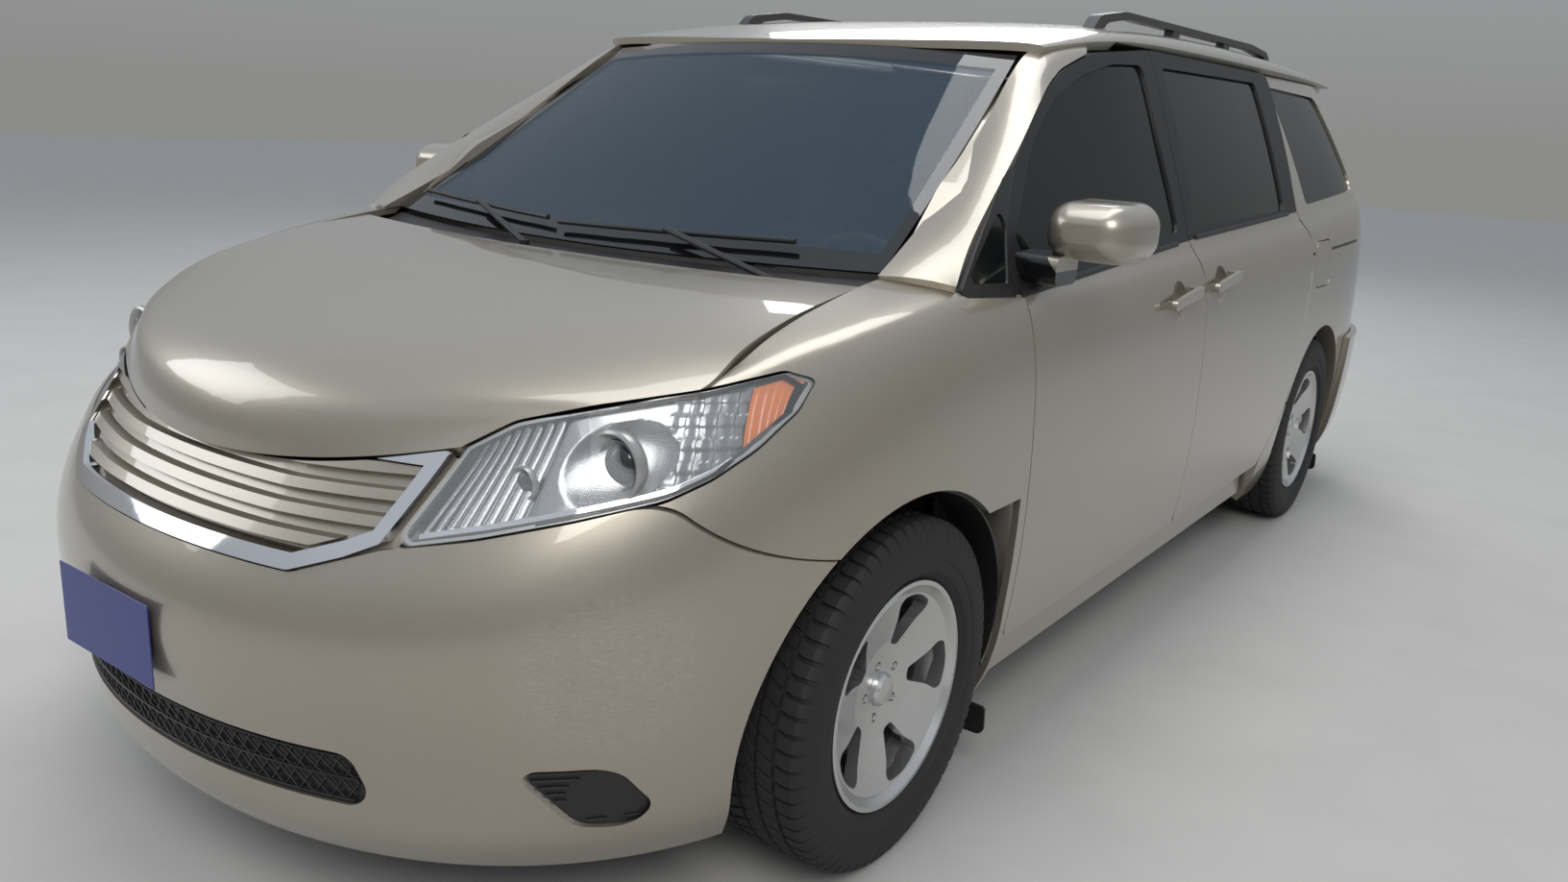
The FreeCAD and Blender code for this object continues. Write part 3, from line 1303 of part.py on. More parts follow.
def steering_wheel():
    ring = Part.makeTorus(WHEEL_RIM[0], WHEEL_RIM[1], WHEEL_CENTRE, WHEEL_AXIS)
    hub = Part.makeCylinder(62, 46, WHEEL_CENTRE - WHEEL_AXIS * 26, WHEEL_AXIS)
    solids = [ring, hub]
    across = Vector(1, 0, 0)
    up = WHEEL_AXIS.cross(across)
    for angle in (0, 180, 245, 295):
        way = across * math.cos(math.radians(angle)) + up * math.sin(math.radians(angle)) * -1
        solids.append(Part.makeCylinder(12, WHEEL_RIM[0], WHEEL_CENTRE, way))
    return joined(solids)


def seat(x, y, half):
    """Seat on its base: cushion, leaning back and head restraint, with y at the cushion's rear."""
    z = FLOOR_Z + FLOOR_WALL
    base = box((x - half + 60, y - 400, z + SEAT_GAP), (x + half - 60, y - 80, z + 150))
    profile = [
        (y - 500, z + 130, 30), (y - 510, z + 250, 60), (y - 120, z + 235, 60), (y + 95, z + 830, 60),
        (y + 190, z + 820, 60), (y + 30, z + 150, 60),
    ]
    shell = outline(profile, "X", x - half, x + half)
    restraint = [(y + 80, z + 760, 20), (y + 130, z + 1000, 50), (y + 230, z + 990, 50), (y + 180, z + 760, 20)]
    return joined([base, shell, outline(restraint, "X", x - 130, x + 130)])


def rear_bench():
    z = RAISED_Z + FLOOR_WALL
    y = 1590.0
    base = box((-480, y - 400, z + SEAT_GAP), (480, y - 60, z + 90))
    profile = [
        (y - 470, z + 60, 30), (y - 480, z + 150, 60), (y - 100, z + 135, 60), (y + 95, z + 700, 60),
        (y + 190, z + 690, 60), (y + 40, z + 60, 60),
    ]
    return joined([base, outline(profile, "X", -600, 600)])


MIRROR_PLACE = Vector(1030.0, -990.0, 1226.0)
# Mirror housing from its nose to its open rear: (y, half width, half height)
MIRROR_SECTIONS = [(-102, 34, 16), (-94, 64, 35), (-72, 84, 51), (-30, 97, 61), (30, 100, 63), (86, 96, 61)]
MIRROR_RECESS = 16.0
MIRROR_RIM = 9.0
MIRROR_FOOT = [(-110, -112, 20), (-110, -52, 20), (0, -46, 20), (0, -112, 20)]


def rounded_wire(centre, half_x, half_z, radius):
    """Closed outline of a rounded rectangle across the Y axis."""
    edges = []
    corners = [(1, 1), (-1, 1), (-1, -1), (1, -1)]
    ends = []
    for i, (sx, sz) in enumerate(corners):
        middle = centre + Vector(sx * (half_x - radius), 0, sz * (half_z - radius))
        turns = [math.radians(90 * i + at) for at in (0, 45, 90)]
        first, on, last = (middle + Vector(math.cos(t), 0, math.sin(t)) * radius for t in turns)
        if ends:
            edges.append(Part.makeLine(ends[-1], first))
        edges.append(Part.Arc(first, on, last).toShape())
        ends.append(last)
    start = centre + Vector(half_x, 0, half_z - radius)
    edges.append(Part.makeLine(ends[-1], start))
    return Part.Wire(edges)


def side_mirror():
    """Door mirror: rounded housing on a foot, with a recess at the rear for its glass."""
    wires = [
        rounded_wire(MIRROR_PLACE + Vector(0, y, 0), half_x, half_z, half_z * 0.8)
        for y, half_x, half_z in MIRROR_SECTIONS
    ]
    shell = Part.makeLoft(wires, True, False)
    rear_y, half_x, half_z = MIRROR_SECTIONS[-1]
    recess = Part.Face(
        rounded_wire(
            MIRROR_PLACE + Vector(0, rear_y - MIRROR_RECESS, 0), half_x - MIRROR_RIM, half_z - MIRROR_RIM,
            half_z * 0.65,
        )
    ).extrude(Vector(0, 2 * MIRROR_RECESS, 0))
    y, z = MIRROR_PLACE.y, MIRROR_PLACE.z
    foot = outline([(y + a, z + b, r) for a, b, r in MIRROR_FOOT], "X", 880, 990)
    inside = slab(whole_side, spaced(-1160, -800, 5), WHOLE_ROWS, -SEAT_GAP, 100)
    return largest(joined([shell.cut(recess), foot]).cut(inside))


ROOF_RAIL_X = 600.0


def roof_rail():
    """Raised rail on feet along the roof's edge."""
    bar = outline(
        [(-175, 1690), (-120, 1738, 60), (60, 1763, 400), (1300, 1768, 900), (1510, 1754, 100), (1600, 1690),
         (1540, 1690), (1480, 1736, 60), (1290, 1749, 600), (80, 1744, 500), (-70, 1722, 60), (-110, 1690)],
        "X", ROOF_RAIL_X - 18, ROOF_RAIL_X + 18,
    )
    feet = [box((ROOF_RAIL_X - 15, y - 30, 1690), (ROOF_RAIL_X + 15, y + 30, 1758)) for y in (500, 1020)]
    above = slab(roof_at, spaced(0.6, 0.95, 5), spaced(-300, 1900, 12), -2 * SEAT_GAP, 120)
    return joined([bar] + feet).cut(above).cut(roof_slab(SEAT_GAP))


WIPERS = [
    ((571, -1500), (-0.10, 0.20), (0.72, 0.30)),
    ((-110, -1543), (-0.90, 0.36), (-0.16, 0.24)),
]
WIPER_LIFT = 15.0


def wiper(pivot, tip, tail_end):
    """Wiper blade along the glass, given as (across, row) places, and its arm from the pivot."""
    steps = 4
    places = []
    for i in range(steps + 1):
        across, row = (start + (end - start) * i / steps for start, end in zip(tail_end, tip))
        places.append(screen_skin(across, row))
    points = [place + Vector(0, -0.55, 0.83) * WIPER_LIFT for place in places]
    blade = [rod(start, end, 6) for start, end in zip(points, points[1:])]
    blade += [Part.makeSphere(6, point) for point in points[1:-1]]
    cowl_z = COWL[1][1] - 12 * abs(pivot[0]) / 571
    foot = Vector(*pivot, cowl_z + 12)
    post = rod(foot - Vector(0, 0, 11), foot + Vector(0, 0, 11), 11)
    arm = rod(foot + Vector(0, 0, 5), points[steps // 2] + Vector(0, -0.55, 0.83) * 8, 7)
    cowl = slab(crowned(COWL), spaced(-0.99, 0.99, 9), spaced(0, 2, 5), -SEAT_GAP, 60)
    return largest(joined(blade + [post, arm]).cut(cowl))


WHEELS = {
    "front_left": (1, FRONT_AXLE_Y),
    "front_right": (-1, FRONT_AXLE_Y),
    "rear_left": (1, REAR_AXLE_Y),
    "rear_right": (-1, REAR_AXLE_Y),
}


def main():
    left_door = front_door()
    pane = window_pane(FRONT_DOOR_GLASS, -1120, -80)
    mirror = side_mirror()
    steered = knuckle()
    for name, place in (("left", lambda s: s), ("right", mirrored)):
        export("front_door_" + name, place(left_door))
        export("front_door_glass_" + name, place(pane))
        export("mirror_" + name, place(mirror))
        export("knuckle_" + name, place(steered))
    for name, (sign, y) in WHEELS.items():
        axle = (sign * HALF_TRACK, y, AXLE_Z)
        export("tyre_" + name, tyre(axle))
        export("rim_" + name, rim(axle, sign))
    export("sliding_doors", both(sliding_door()))
    export("side_frames", both(side_frame()))
    quarter = joined([quarter_panel(), gate_jamb()])
    export("quarter_panels", [quarter.cut(fuel_pocket()), mirrored(quarter)])
    export("fuel_lid", fuel_lid())
    export("tail_lamps", both(tail_lamp()))
    export("front_bumper", front_bumper())
    export("front_fenders", both(fender()))
    export("hood", hood())
    export("roof_panel", roof_panel())
    export("windshield", windshield())
    export("a_pillars", both(a_pillar()))
    export("cowl_panel", cowl_panel())
    export("rear_bumper", rear_bumper())
    export("liftgate", liftgate())
    export("liftgate_glass", gate_glass())
    panes = [window_pane(SLIDING_GLASS, -60, 950), quarter_glass(), quarterlight_pane()]
    export("side_windows", [shape for pane in panes for shape in both(pane)])
    export("quarterlight_frames", both(quarterlight_frame()))
    export("headlamp_lenses", both(lamp_lens()))
    export("headlamp_housings", both(lamp_housing()))
    export("grille_surround", grille_surround())
    export("grille_bars", grille_bars())
    export("bumper_inserts", bumper_inserts())
    export("front_plate", front_plate())
    export("front_subframe", front_subframe())
    export("floor_pan", floor_pan())
    export("wheel_liners", both(front_liner()) + both(rear_liner()))
    export("rear_axle", rear_axle())
    export("engine", engine())
    export("radiator", radiator())
    export("radiator_support", radiator_support())
    export("exhaust", exhaust())
    export("fuel_tank", fuel_tank())
    export("dashboard", dashboard())
    export("steering_wheel", steering_wheel())
    export("front_seats", both(seat(DRIVER_X, -130, 255)))
    export("middle_seats", both(seat(DRIVER_X, 800, 240)))
    export("rear_bench", rear_bench())
    export("roof_rails", both(roof_rail()))
    export("mud_flaps", both(mud_flap(FRONT_AXLE_Y)) + both(rear_flap()))
    export("front_wipers", [wiper(*places) for places in WIPERS])


if __name__ == "__main__":
    main()
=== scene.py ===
import json
import math

import bmesh
import bpy
from mathutils import Matrix, Vector
from mathutils.bvhtree import BVHTree


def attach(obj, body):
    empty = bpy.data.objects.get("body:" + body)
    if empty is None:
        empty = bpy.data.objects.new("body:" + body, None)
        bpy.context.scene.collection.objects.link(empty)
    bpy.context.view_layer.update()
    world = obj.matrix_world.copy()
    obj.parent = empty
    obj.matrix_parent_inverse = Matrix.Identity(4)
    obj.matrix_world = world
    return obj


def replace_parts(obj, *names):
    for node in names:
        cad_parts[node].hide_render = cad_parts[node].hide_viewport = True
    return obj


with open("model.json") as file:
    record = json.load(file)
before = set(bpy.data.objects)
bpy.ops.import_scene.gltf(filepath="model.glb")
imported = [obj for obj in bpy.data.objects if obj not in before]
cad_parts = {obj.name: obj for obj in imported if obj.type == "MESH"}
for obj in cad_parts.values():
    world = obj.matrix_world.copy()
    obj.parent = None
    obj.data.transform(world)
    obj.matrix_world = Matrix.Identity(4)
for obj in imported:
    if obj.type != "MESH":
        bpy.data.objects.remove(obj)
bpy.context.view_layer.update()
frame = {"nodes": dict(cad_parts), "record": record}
scene = bpy.context.scene
NODES = frame["nodes"]
SIDES = (("left", 1), ("right", -1))

# Camera, fitted to the photograph's wheels with an assumed wheelbase and track
CAMERA_PLACE = Vector((1.998, -3.4465, 1.425))
CAMERA_AZIMUTH = math.radians(35.398)
CAMERA_DOWN = math.radians(15.016)
CAMERA_ROLL = math.radians(3.219)
SENSOR = 36.0
FOCAL_PIXELS = 1260.25
PHOTO_WIDTH = 1632
LENS = SENSOR * FOCAL_PIXELS / PHOTO_WIDTH


def add_camera():
    away = Vector((-math.sin(CAMERA_AZIMUTH) * math.cos(CAMERA_DOWN),
                   math.cos(CAMERA_AZIMUTH) * math.cos(CAMERA_DOWN),
                   -math.sin(CAMERA_DOWN)))
    right = away.cross(Vector((0, 0, 1))).normalized()
    up = right.cross(away)
    c, s = math.cos(CAMERA_ROLL), math.sin(CAMERA_ROLL)
    x_axis = right * c + up * s
    y_axis = up * c - right * s
    data = bpy.data.cameras.new("camera")
    data.lens = LENS
    data.sensor_width = SENSOR
    camera = bpy.data.objects.new("camera", data)
    scene.collection.objects.link(camera)
    turn = Matrix((x_axis, y_axis, -away)).transposed()
    camera.matrix_world = Matrix.Translation(CAMERA_PLACE) @ turn.to_4x4()
    scene.camera = camera


# Studio
FLOOR_COLOUR = (0.52, 0.51, 0.49)
FLOOR_HALF = 30.0
SKY_STRENGTH = 0.62
SKY_LOW = (0.42, 0.42, 0.41)
SKY_HIGH = (0.80, 0.86, 0.95)
SKY_HIGH_FROM = 0.55
# Area lights: name, place, target, width, height, watts and colour
LIGHTS = (
    ("key", (5.0, -6.0, 6.5), (0, -0.5, 0.7), 4.0, 4.0, 290, (1.0, 0.98, 0.95)),
    ("fill", (-6.5, -5.0, 4.5), (0, 0, 0.8), 5.0, 4.0, 150, (0.95, 0.97, 1.0)),
    ("top", (0, 0.4, 7.0), (0, 0, 0), 3.0, 7.0, 190, (1, 1, 1)),
    ("back", (-4.5, 8.0, 5.5), (0, 1.0, 0.8), 4.0, 3.0, 170, (1, 1, 1)),
)


def area_light(name, place, target, size, size_y, watts, colour):
    data = bpy.data.lights.new(name, "AREA")
    data.shape = "RECTANGLE"
    data.size = size
    data.size_y = size_y
    data.energy = watts
    data.color = colour
    light = bpy.data.objects.new(name, data)
    light.location = place
    light.rotation_mode = "QUATERNION"
    light.rotation_quaternion = (Vector(target) - Vector(place)).to_track_quat("-Z", "Y")
    scene.collection.objects.link(light)


def add_studio():
    mesh = bpy.data.meshes.new("floor")
    h = FLOOR_HALF
    mesh.from_pydata([(-h, -h, 0), (h, -h, 0), (h, h, 0), (-h, h, 0)], [], [(0, 1, 2, 3)])
    floor = bpy.data.objects.new("floor", mesh)
    scene.collection.objects.link(floor)
    mesh.materials.append(matte("floor_finish", FLOOR_COLOUR, 0.85, grain=6.0, variation=0.05))
    world = bpy.data.worlds.new("studio")
    scene.world = world
    world.use_nodes = True
    nodes, links = world.node_tree.nodes, world.node_tree.links
    nodes.clear()
    out = nodes.new("ShaderNodeOutputWorld")
    background = nodes.new("ShaderNodeBackground")
    background.inputs["Strength"].default_value = SKY_STRENGTH
    ramp = nodes.new("ShaderNodeValToRGB")
    split = nodes.new("ShaderNodeSeparateXYZ")
    place = nodes.new("ShaderNodeTexCoord")
    links.new(place.outputs["Generated"], split.inputs[0])
    links.new(split.outputs["Z"], ramp.inputs[0])
    for element, position, colour in zip(ramp.color_ramp.elements, (0, SKY_HIGH_FROM), (SKY_LOW, SKY_HIGH)):
        element.position = position
        element.color = (*colour, 1)
    links.new(ramp.outputs[0], background.inputs["Color"])
    links.new(background.outputs[0], out.inputs[0])
    for light in LIGHTS:
        area_light(*light)


# Materials
class Finish:
    """A Principled material; values are numbers, colours or the sockets of other nodes."""

    def __init__(self, name):
        self.material = bpy.data.materials.new(name)
        self.material.use_nodes = True
        self.nodes = self.material.node_tree.nodes
        self.links = self.material.node_tree.links
        self.shader = self.nodes["Principled BSDF"]

    def put(self, target, value):
        """Set or link a socket, or one of the shader's inputs by its name."""
        if isinstance(target, str):
            target = self.shader.inputs[target]
        if isinstance(value, tuple):
            target.default_value = (*value, 1)
        elif isinstance(value, (int, float)):
            target.default_value = value
        else:
            self.links.new(value, target)

    def noise(self, scale, detail=3.0, roughness=0.5, kind="Noise", stretch=None, output="Fac"):
        source = self.nodes.new("ShaderNodeTexCoord").outputs["Object"]
        if stretch:
            mapping = self.nodes.new("ShaderNodeMapping")
            mapping.inputs["Scale"].default_value = stretch
            self.links.new(source, mapping.inputs["Vector"])
            source = mapping.outputs[0]
        texture = self.nodes.new(f"ShaderNodeTex{kind}")
        texture.inputs["Scale"].default_value = scale
        if kind == "Noise":
            texture.inputs["Detail"].default_value = detail
            texture.inputs["Roughness"].default_value = roughness
        self.links.new(source, texture.inputs["Vector"])
        return texture.outputs[output]

    def bump(self, height, strength, distance):
        bump = self.nodes.new("ShaderNodeBump")
        for name, value in (("Strength", strength), ("Distance", distance), ("Height", height)):
            self.put(bump.inputs[name], value)
        self.put("Normal", bump.outputs[0])

    def blend(self, factor, first, second):
        """The first colour where the factor is 0, the second where it is 1."""
        mix = self.nodes.new("ShaderNodeMix")
        mix.data_type = "RGBA"
        colours = [socket for socket in mix.inputs if socket.type == "RGBA"]
        self.put(colours[0], first)
        self.put(colours[1], second)
        self.put(mix.inputs["Factor"], factor)
        return [socket for socket in mix.outputs if socket.type == "RGBA"][0]

    def math(self, operation, *values):
        node = self.nodes.new("ShaderNodeMath")
        node.operation = operation
        for socket, value in zip(node.inputs, values):
            self.put(socket, value)
        return node.outputs[0]

    def coordinates(self, output="Object"):
        """The x, y and z sockets of a surface's place, or with "Normal" of the way it faces."""
        split = self.nodes.new("ShaderNodeSeparateXYZ")
        self.links.new(self.nodes.new("ShaderNodeTexCoord").outputs[output], split.inputs[0])
        return split.outputs[0], split.outputs[1], split.outputs[2]

    def remap(self, value, low, high, ends="To"):
        """A value from 0 to 1 spread from low to high, or with "From" the other way round."""
        node = self.nodes.new("ShaderNodeMapRange")
        for name, number in (("Min", low), ("Max", high), ("Value", value)):
            self.put(node.inputs[name if name == "Value" else f"{ends} {name}"], number)
        return node.outputs[0]

    def fade(self, value, low, high):
        """0 where the value is at low or before it, 1 at high or past it."""
        return self.remap(value, low, high, "From")


def matte(name, colour, roughness, metallic=0.0, grain=400.0, variation=0.12, bump=0.15, depth=0.0004):
    """A dull finish with fine grain, soft soiling and a roughness that varies a little."""
    look = Finish(name)
    fine = look.noise(grain)
    soil = look.noise(2.5, 5, 0.6)
    darker = tuple(c * (1 - variation) for c in colour)
    soiled = tuple(c * 0.9 + 0.006 for c in colour)
    base = look.blend(fine, colour, darker)
    look.put("Base Color", look.blend(look.fade(soil, 0.45, 0.8), base, soiled))
    look.put("Roughness", look.remap(soil, max(roughness - 0.06, 0.05), min(roughness + 0.08, 1.0)))
    look.put("Metallic", metallic)
    look.bump(fine, bump, depth)
    return look.material


PAINT_COLOUR = (0.375, 0.340, 0.280)
PAINT_METAL = 0.72
PAINT_ROUGHNESS = 0.34
SCRATCH_COLOUR = (0.62, 0.60, 0.56)
BLACK = (0.008, 0.008, 0.009)
TRIM_COLOUR = (0.21, 0.195, 0.17)
LINING_COLOUR = (0.40, 0.38, 0.34)
# Lower edge of the black window surround: height at the middle seam and its slopes fore and aft
SURROUND_Z = 1.158
SURROUND_SLOPES = (0.0573, 0.038)
SURROUND_EDGE = 0.0004
# Scratches on the left corner of the front bumper: middle and radius of the worn patch
SCRATCH_PLACE = (0.80, -2.19, 0.56)
SCRATCH_REACH = 0.20
# The mirror's black foot ends where x + 0.9 z passes these values
MIRROR_FOOT_SLOPE = 0.9
MIRROR_FOOT = (2.0205, 2.0195)


def surround_mask(look):
    """1 above the doors' belt line, where their frames are black."""
    _, y, z = look.coordinates()
    fore = look.math("MULTIPLY", look.math("MINIMUM", y, 0.0), SURROUND_SLOPES[0])
    aft = look.math("MULTIPLY", look.math("MAXIMUM", y, 0.0), SURROUND_SLOPES[1])
    over = look.math("SUBTRACT", z, look.math("ADD", fore, aft))
    return look.fade(over, SURROUND_Z - SURROUND_EDGE, SURROUND_Z + SURROUND_EDGE)


def facing_mask(look, way):
    """1 on the inner faces of a panel: way is x (towards the middle), y (forward) or z (down)."""
    normal = look.coordinates("Normal")
    toward = normal["xyz".index(way)]
    if way == "x":
        toward = look.math("MULTIPLY", toward, look.math("SIGN", look.coordinates()[0]))
    return look.fade(look.math("MULTIPLY", toward, -1.0), 0.45, 0.55)


def scratch_mask(look):
    """1 on thin streaks near one place of the bumper."""
    streaks = look.noise(14.0, 6, 0.7, stretch=(1.5, 3.0, 26.0))
    lines = look.math("ABSOLUTE", look.math("SUBTRACT", streaks, 0.5))
    thin = look.math("SUBTRACT", 1.0, look.fade(lines, 0.002, 0.006))
    place = look.nodes.new("ShaderNodeVectorMath")
    place.operation = "DISTANCE"
    look.links.new(look.nodes.new("ShaderNodeTexCoord").outputs["Object"], place.inputs[0])
    place.inputs[1].default_value = SCRATCH_PLACE
    far = look.fade(place.outputs["Value"], SCRATCH_REACH * 0.6, SCRATCH_REACH)
    return look.math("MULTIPLY", thin, look.math("SUBTRACT", 1.0, far))


def foot_mask(look):
    """1 on the mirror's foot by the door."""
    x, _, z = look.coordinates()
    return look.fade(look.math("MULTIPLY_ADD", z, MIRROR_FOOT_SLOPE, look.math("ABSOLUTE", x)), *MIRROR_FOOT)


def paint_finish(name, surround=False, inner=None, inner_colour=TRIM_COLOUR, scratched=False, foot=False):
    """Warm silver-beige metallic paint with fine flakes under a clear coat."""
    look = Finish(name)
    flakes = look.noise(2600.0, kind="Voronoi", output="Color")
    light = tuple(min(1, c * 1.13) for c in PAINT_COLOUR)
    dark = tuple(c * 0.90 for c in PAINT_COLOUR)
    film = look.fade(look.noise(1.7, 6, 0.65), 0.5, 0.95)
    dusty = tuple(c * 0.93 + 0.012 for c in PAINT_COLOUR)
    colour = look.blend(film, look.blend(flakes, light, dark), dusty)
    dull = None
    if scratched:
        dull = scratch_mask(look)
        colour = look.blend(dull, colour, SCRATCH_COLOUR)
    if surround:
        dull = surround_mask(look)
        colour = look.blend(dull, colour, BLACK)
    if inner:
        lining = facing_mask(look, inner)
        colour = look.blend(lining, colour, inner_colour)
        dull = look.math("MAXIMUM", dull, lining) if dull else lining
    if foot:
        colour = look.blend(foot_mask(look), colour, BLACK)
    look.put("Base Color", colour)
    look.put("Coat Roughness", 0.03)
    look.put("Coat IOR", 1.5)
    for name, bright, dulled in (("Metallic", PAINT_METAL, 0.0), ("Roughness", PAINT_ROUGHNESS, 0.5),
                                 ("Coat Weight", 1.0, 0.0)):
        look.put(name, look.remap(dull, bright, dulled) if dull else bright)
    return look.material


def gloss_glass(name, colour, alpha, roughness=0.01, specular=0.5, coat=0.0):
    look = Finish(name)
    lighter = tuple(c * 1.1 + 0.002 for c in colour)
    look.put("Base Color", look.blend(look.noise(3.0, 4), colour, lighter))
    look.put("Roughness", roughness)
    look.put("Specular IOR Level", specular)
    look.put("Alpha", alpha)
    look.put("Coat Weight", coat)
    look.put("Coat Roughness", 0.01)
    return look.material


# Windshield's black border, in metres: the glass's half width at its base and how that shrinks with height,
# the border's width, how the base bows beside the middle, and where the lower and upper borders start and end
SCREEN_HALF = 0.752
SCREEN_BASE_Z = 1.136
SCREEN_TAPER = 0.235
BORDER = 0.030
SCREEN_BOW = -0.165
BORDER_LOW = (-1.428, -1.431)
BORDER_HIGH = (-0.800, -0.797)


def windshield_finish():
    """Bluish glass with a black painted border."""
    look = Finish("windshield_finish")
    x, y, z = look.coordinates()
    across = look.math("ABSOLUTE", x)
    half = look.math("MULTIPLY_ADD", look.math("SUBTRACT", z, SCREEN_BASE_Z), -SCREEN_TAPER, SCREEN_HALF)
    side = look.fade(look.math("SUBTRACT", half, across), BORDER, BORDER - 0.003)
    bowed = look.math("MULTIPLY_ADD", look.math("POWER", across, 2.0), SCREEN_BOW, y)
    low = look.fade(bowed, *BORDER_LOW)
    high = look.fade(bowed, *BORDER_HIGH)
    border = look.math("MAXIMUM", look.math("MAXIMUM", side, low), high)
    look.put("Base Color", look.blend(border, (0.035, 0.065, 0.095), (0.006, 0.006, 0.007)))
    look.put("Alpha", look.remap(border, 0.42, 1.0))
    look.put("Roughness", 0.015)
    look.put("Specular IOR Level", 0.75)
    return look.material


def chrome_finish(name, tone, roughness):
    look = Finish(name)
    dull = tuple(c * 0.92 for c in tone)
    look.put("Base Color", look.blend(look.noise(9.0, 4), tone, dull))
    look.put("Metallic", 1.0)
    look.put("Roughness", roughness)
    return look.material


def fabric_finish(name, colour):
    """Woven cloth: two crossed waves for the yarns, with mottled colour."""
    look = Finish(name)
    warp = look.noise(1.0, kind="Wave", stretch=(900.0, 900.0, 0.0))
    weft = look.noise(1.0, kind="Wave", stretch=(0.0, 700.0, 900.0))
    weave = look.math("MULTIPLY", warp, weft)
    base = look.blend(look.noise(60.0, 4), colour, tuple(c * 0.78 for c in colour))
    look.put("Base Color", look.blend(weave, tuple(c * 0.6 for c in colour), base))
    look.put("Roughness", 0.92)
    look.put("Sheen Weight", 0.35)
    look.bump(weave, 0.35, 0.0008)
    return look.material


# Heights over which the clear reversing lamp starts and ends
REVERSING_LOW = (0.869, 0.871)
REVERSING_HIGH = (0.931, 0.929)


def red_lens_finish():
    """Red lamp glass with fine flutes and a clear band for the reversing lamp."""
    look = Finish("red_lens_finish")
    z = look.coordinates()[2]
    band = look.math("MULTIPLY", look.fade(z, *REVERSING_LOW), look.fade(z, *REVERSING_HIGH))
    flutes = look.noise(1.0, kind="Wave", stretch=(0.0, 0.0, 260.0))
    deep = look.blend(flutes, (0.30, 0.004, 0.005), (0.48, 0.012, 0.012))
    look.put("Base Color", look.blend(band, deep, (0.62, 0.62, 0.60)))
    look.put("Roughness", 0.05)
    look.put("Coat Weight", 0.8)
    look.bump(flutes, 0.2, 0.001)
    return look.material


def floor_pan_finish():
    """Dark underseal below and charcoal carpet on the faces that look up into the cabin."""
    look = Finish("floor_pan_finish")
    carpet = look.fade(look.coordinates("Normal")[2], 0.4, 0.6)
    pile = look.noise(700.0, 4, 0.7)
    cloth = look.blend(pile, (0.10, 0.095, 0.085), (0.05, 0.047, 0.042))
    below = look.blend(look.noise(60.0, 4, 0.7), (0.030, 0.030, 0.030), (0.052, 0.048, 0.043))
    look.put("Base Color", look.blend(carpet, below, cloth))
    look.put("Roughness", 0.85)
    look.bump(pile, 0.4, 0.0015)
    return look.material


FINISH = {}


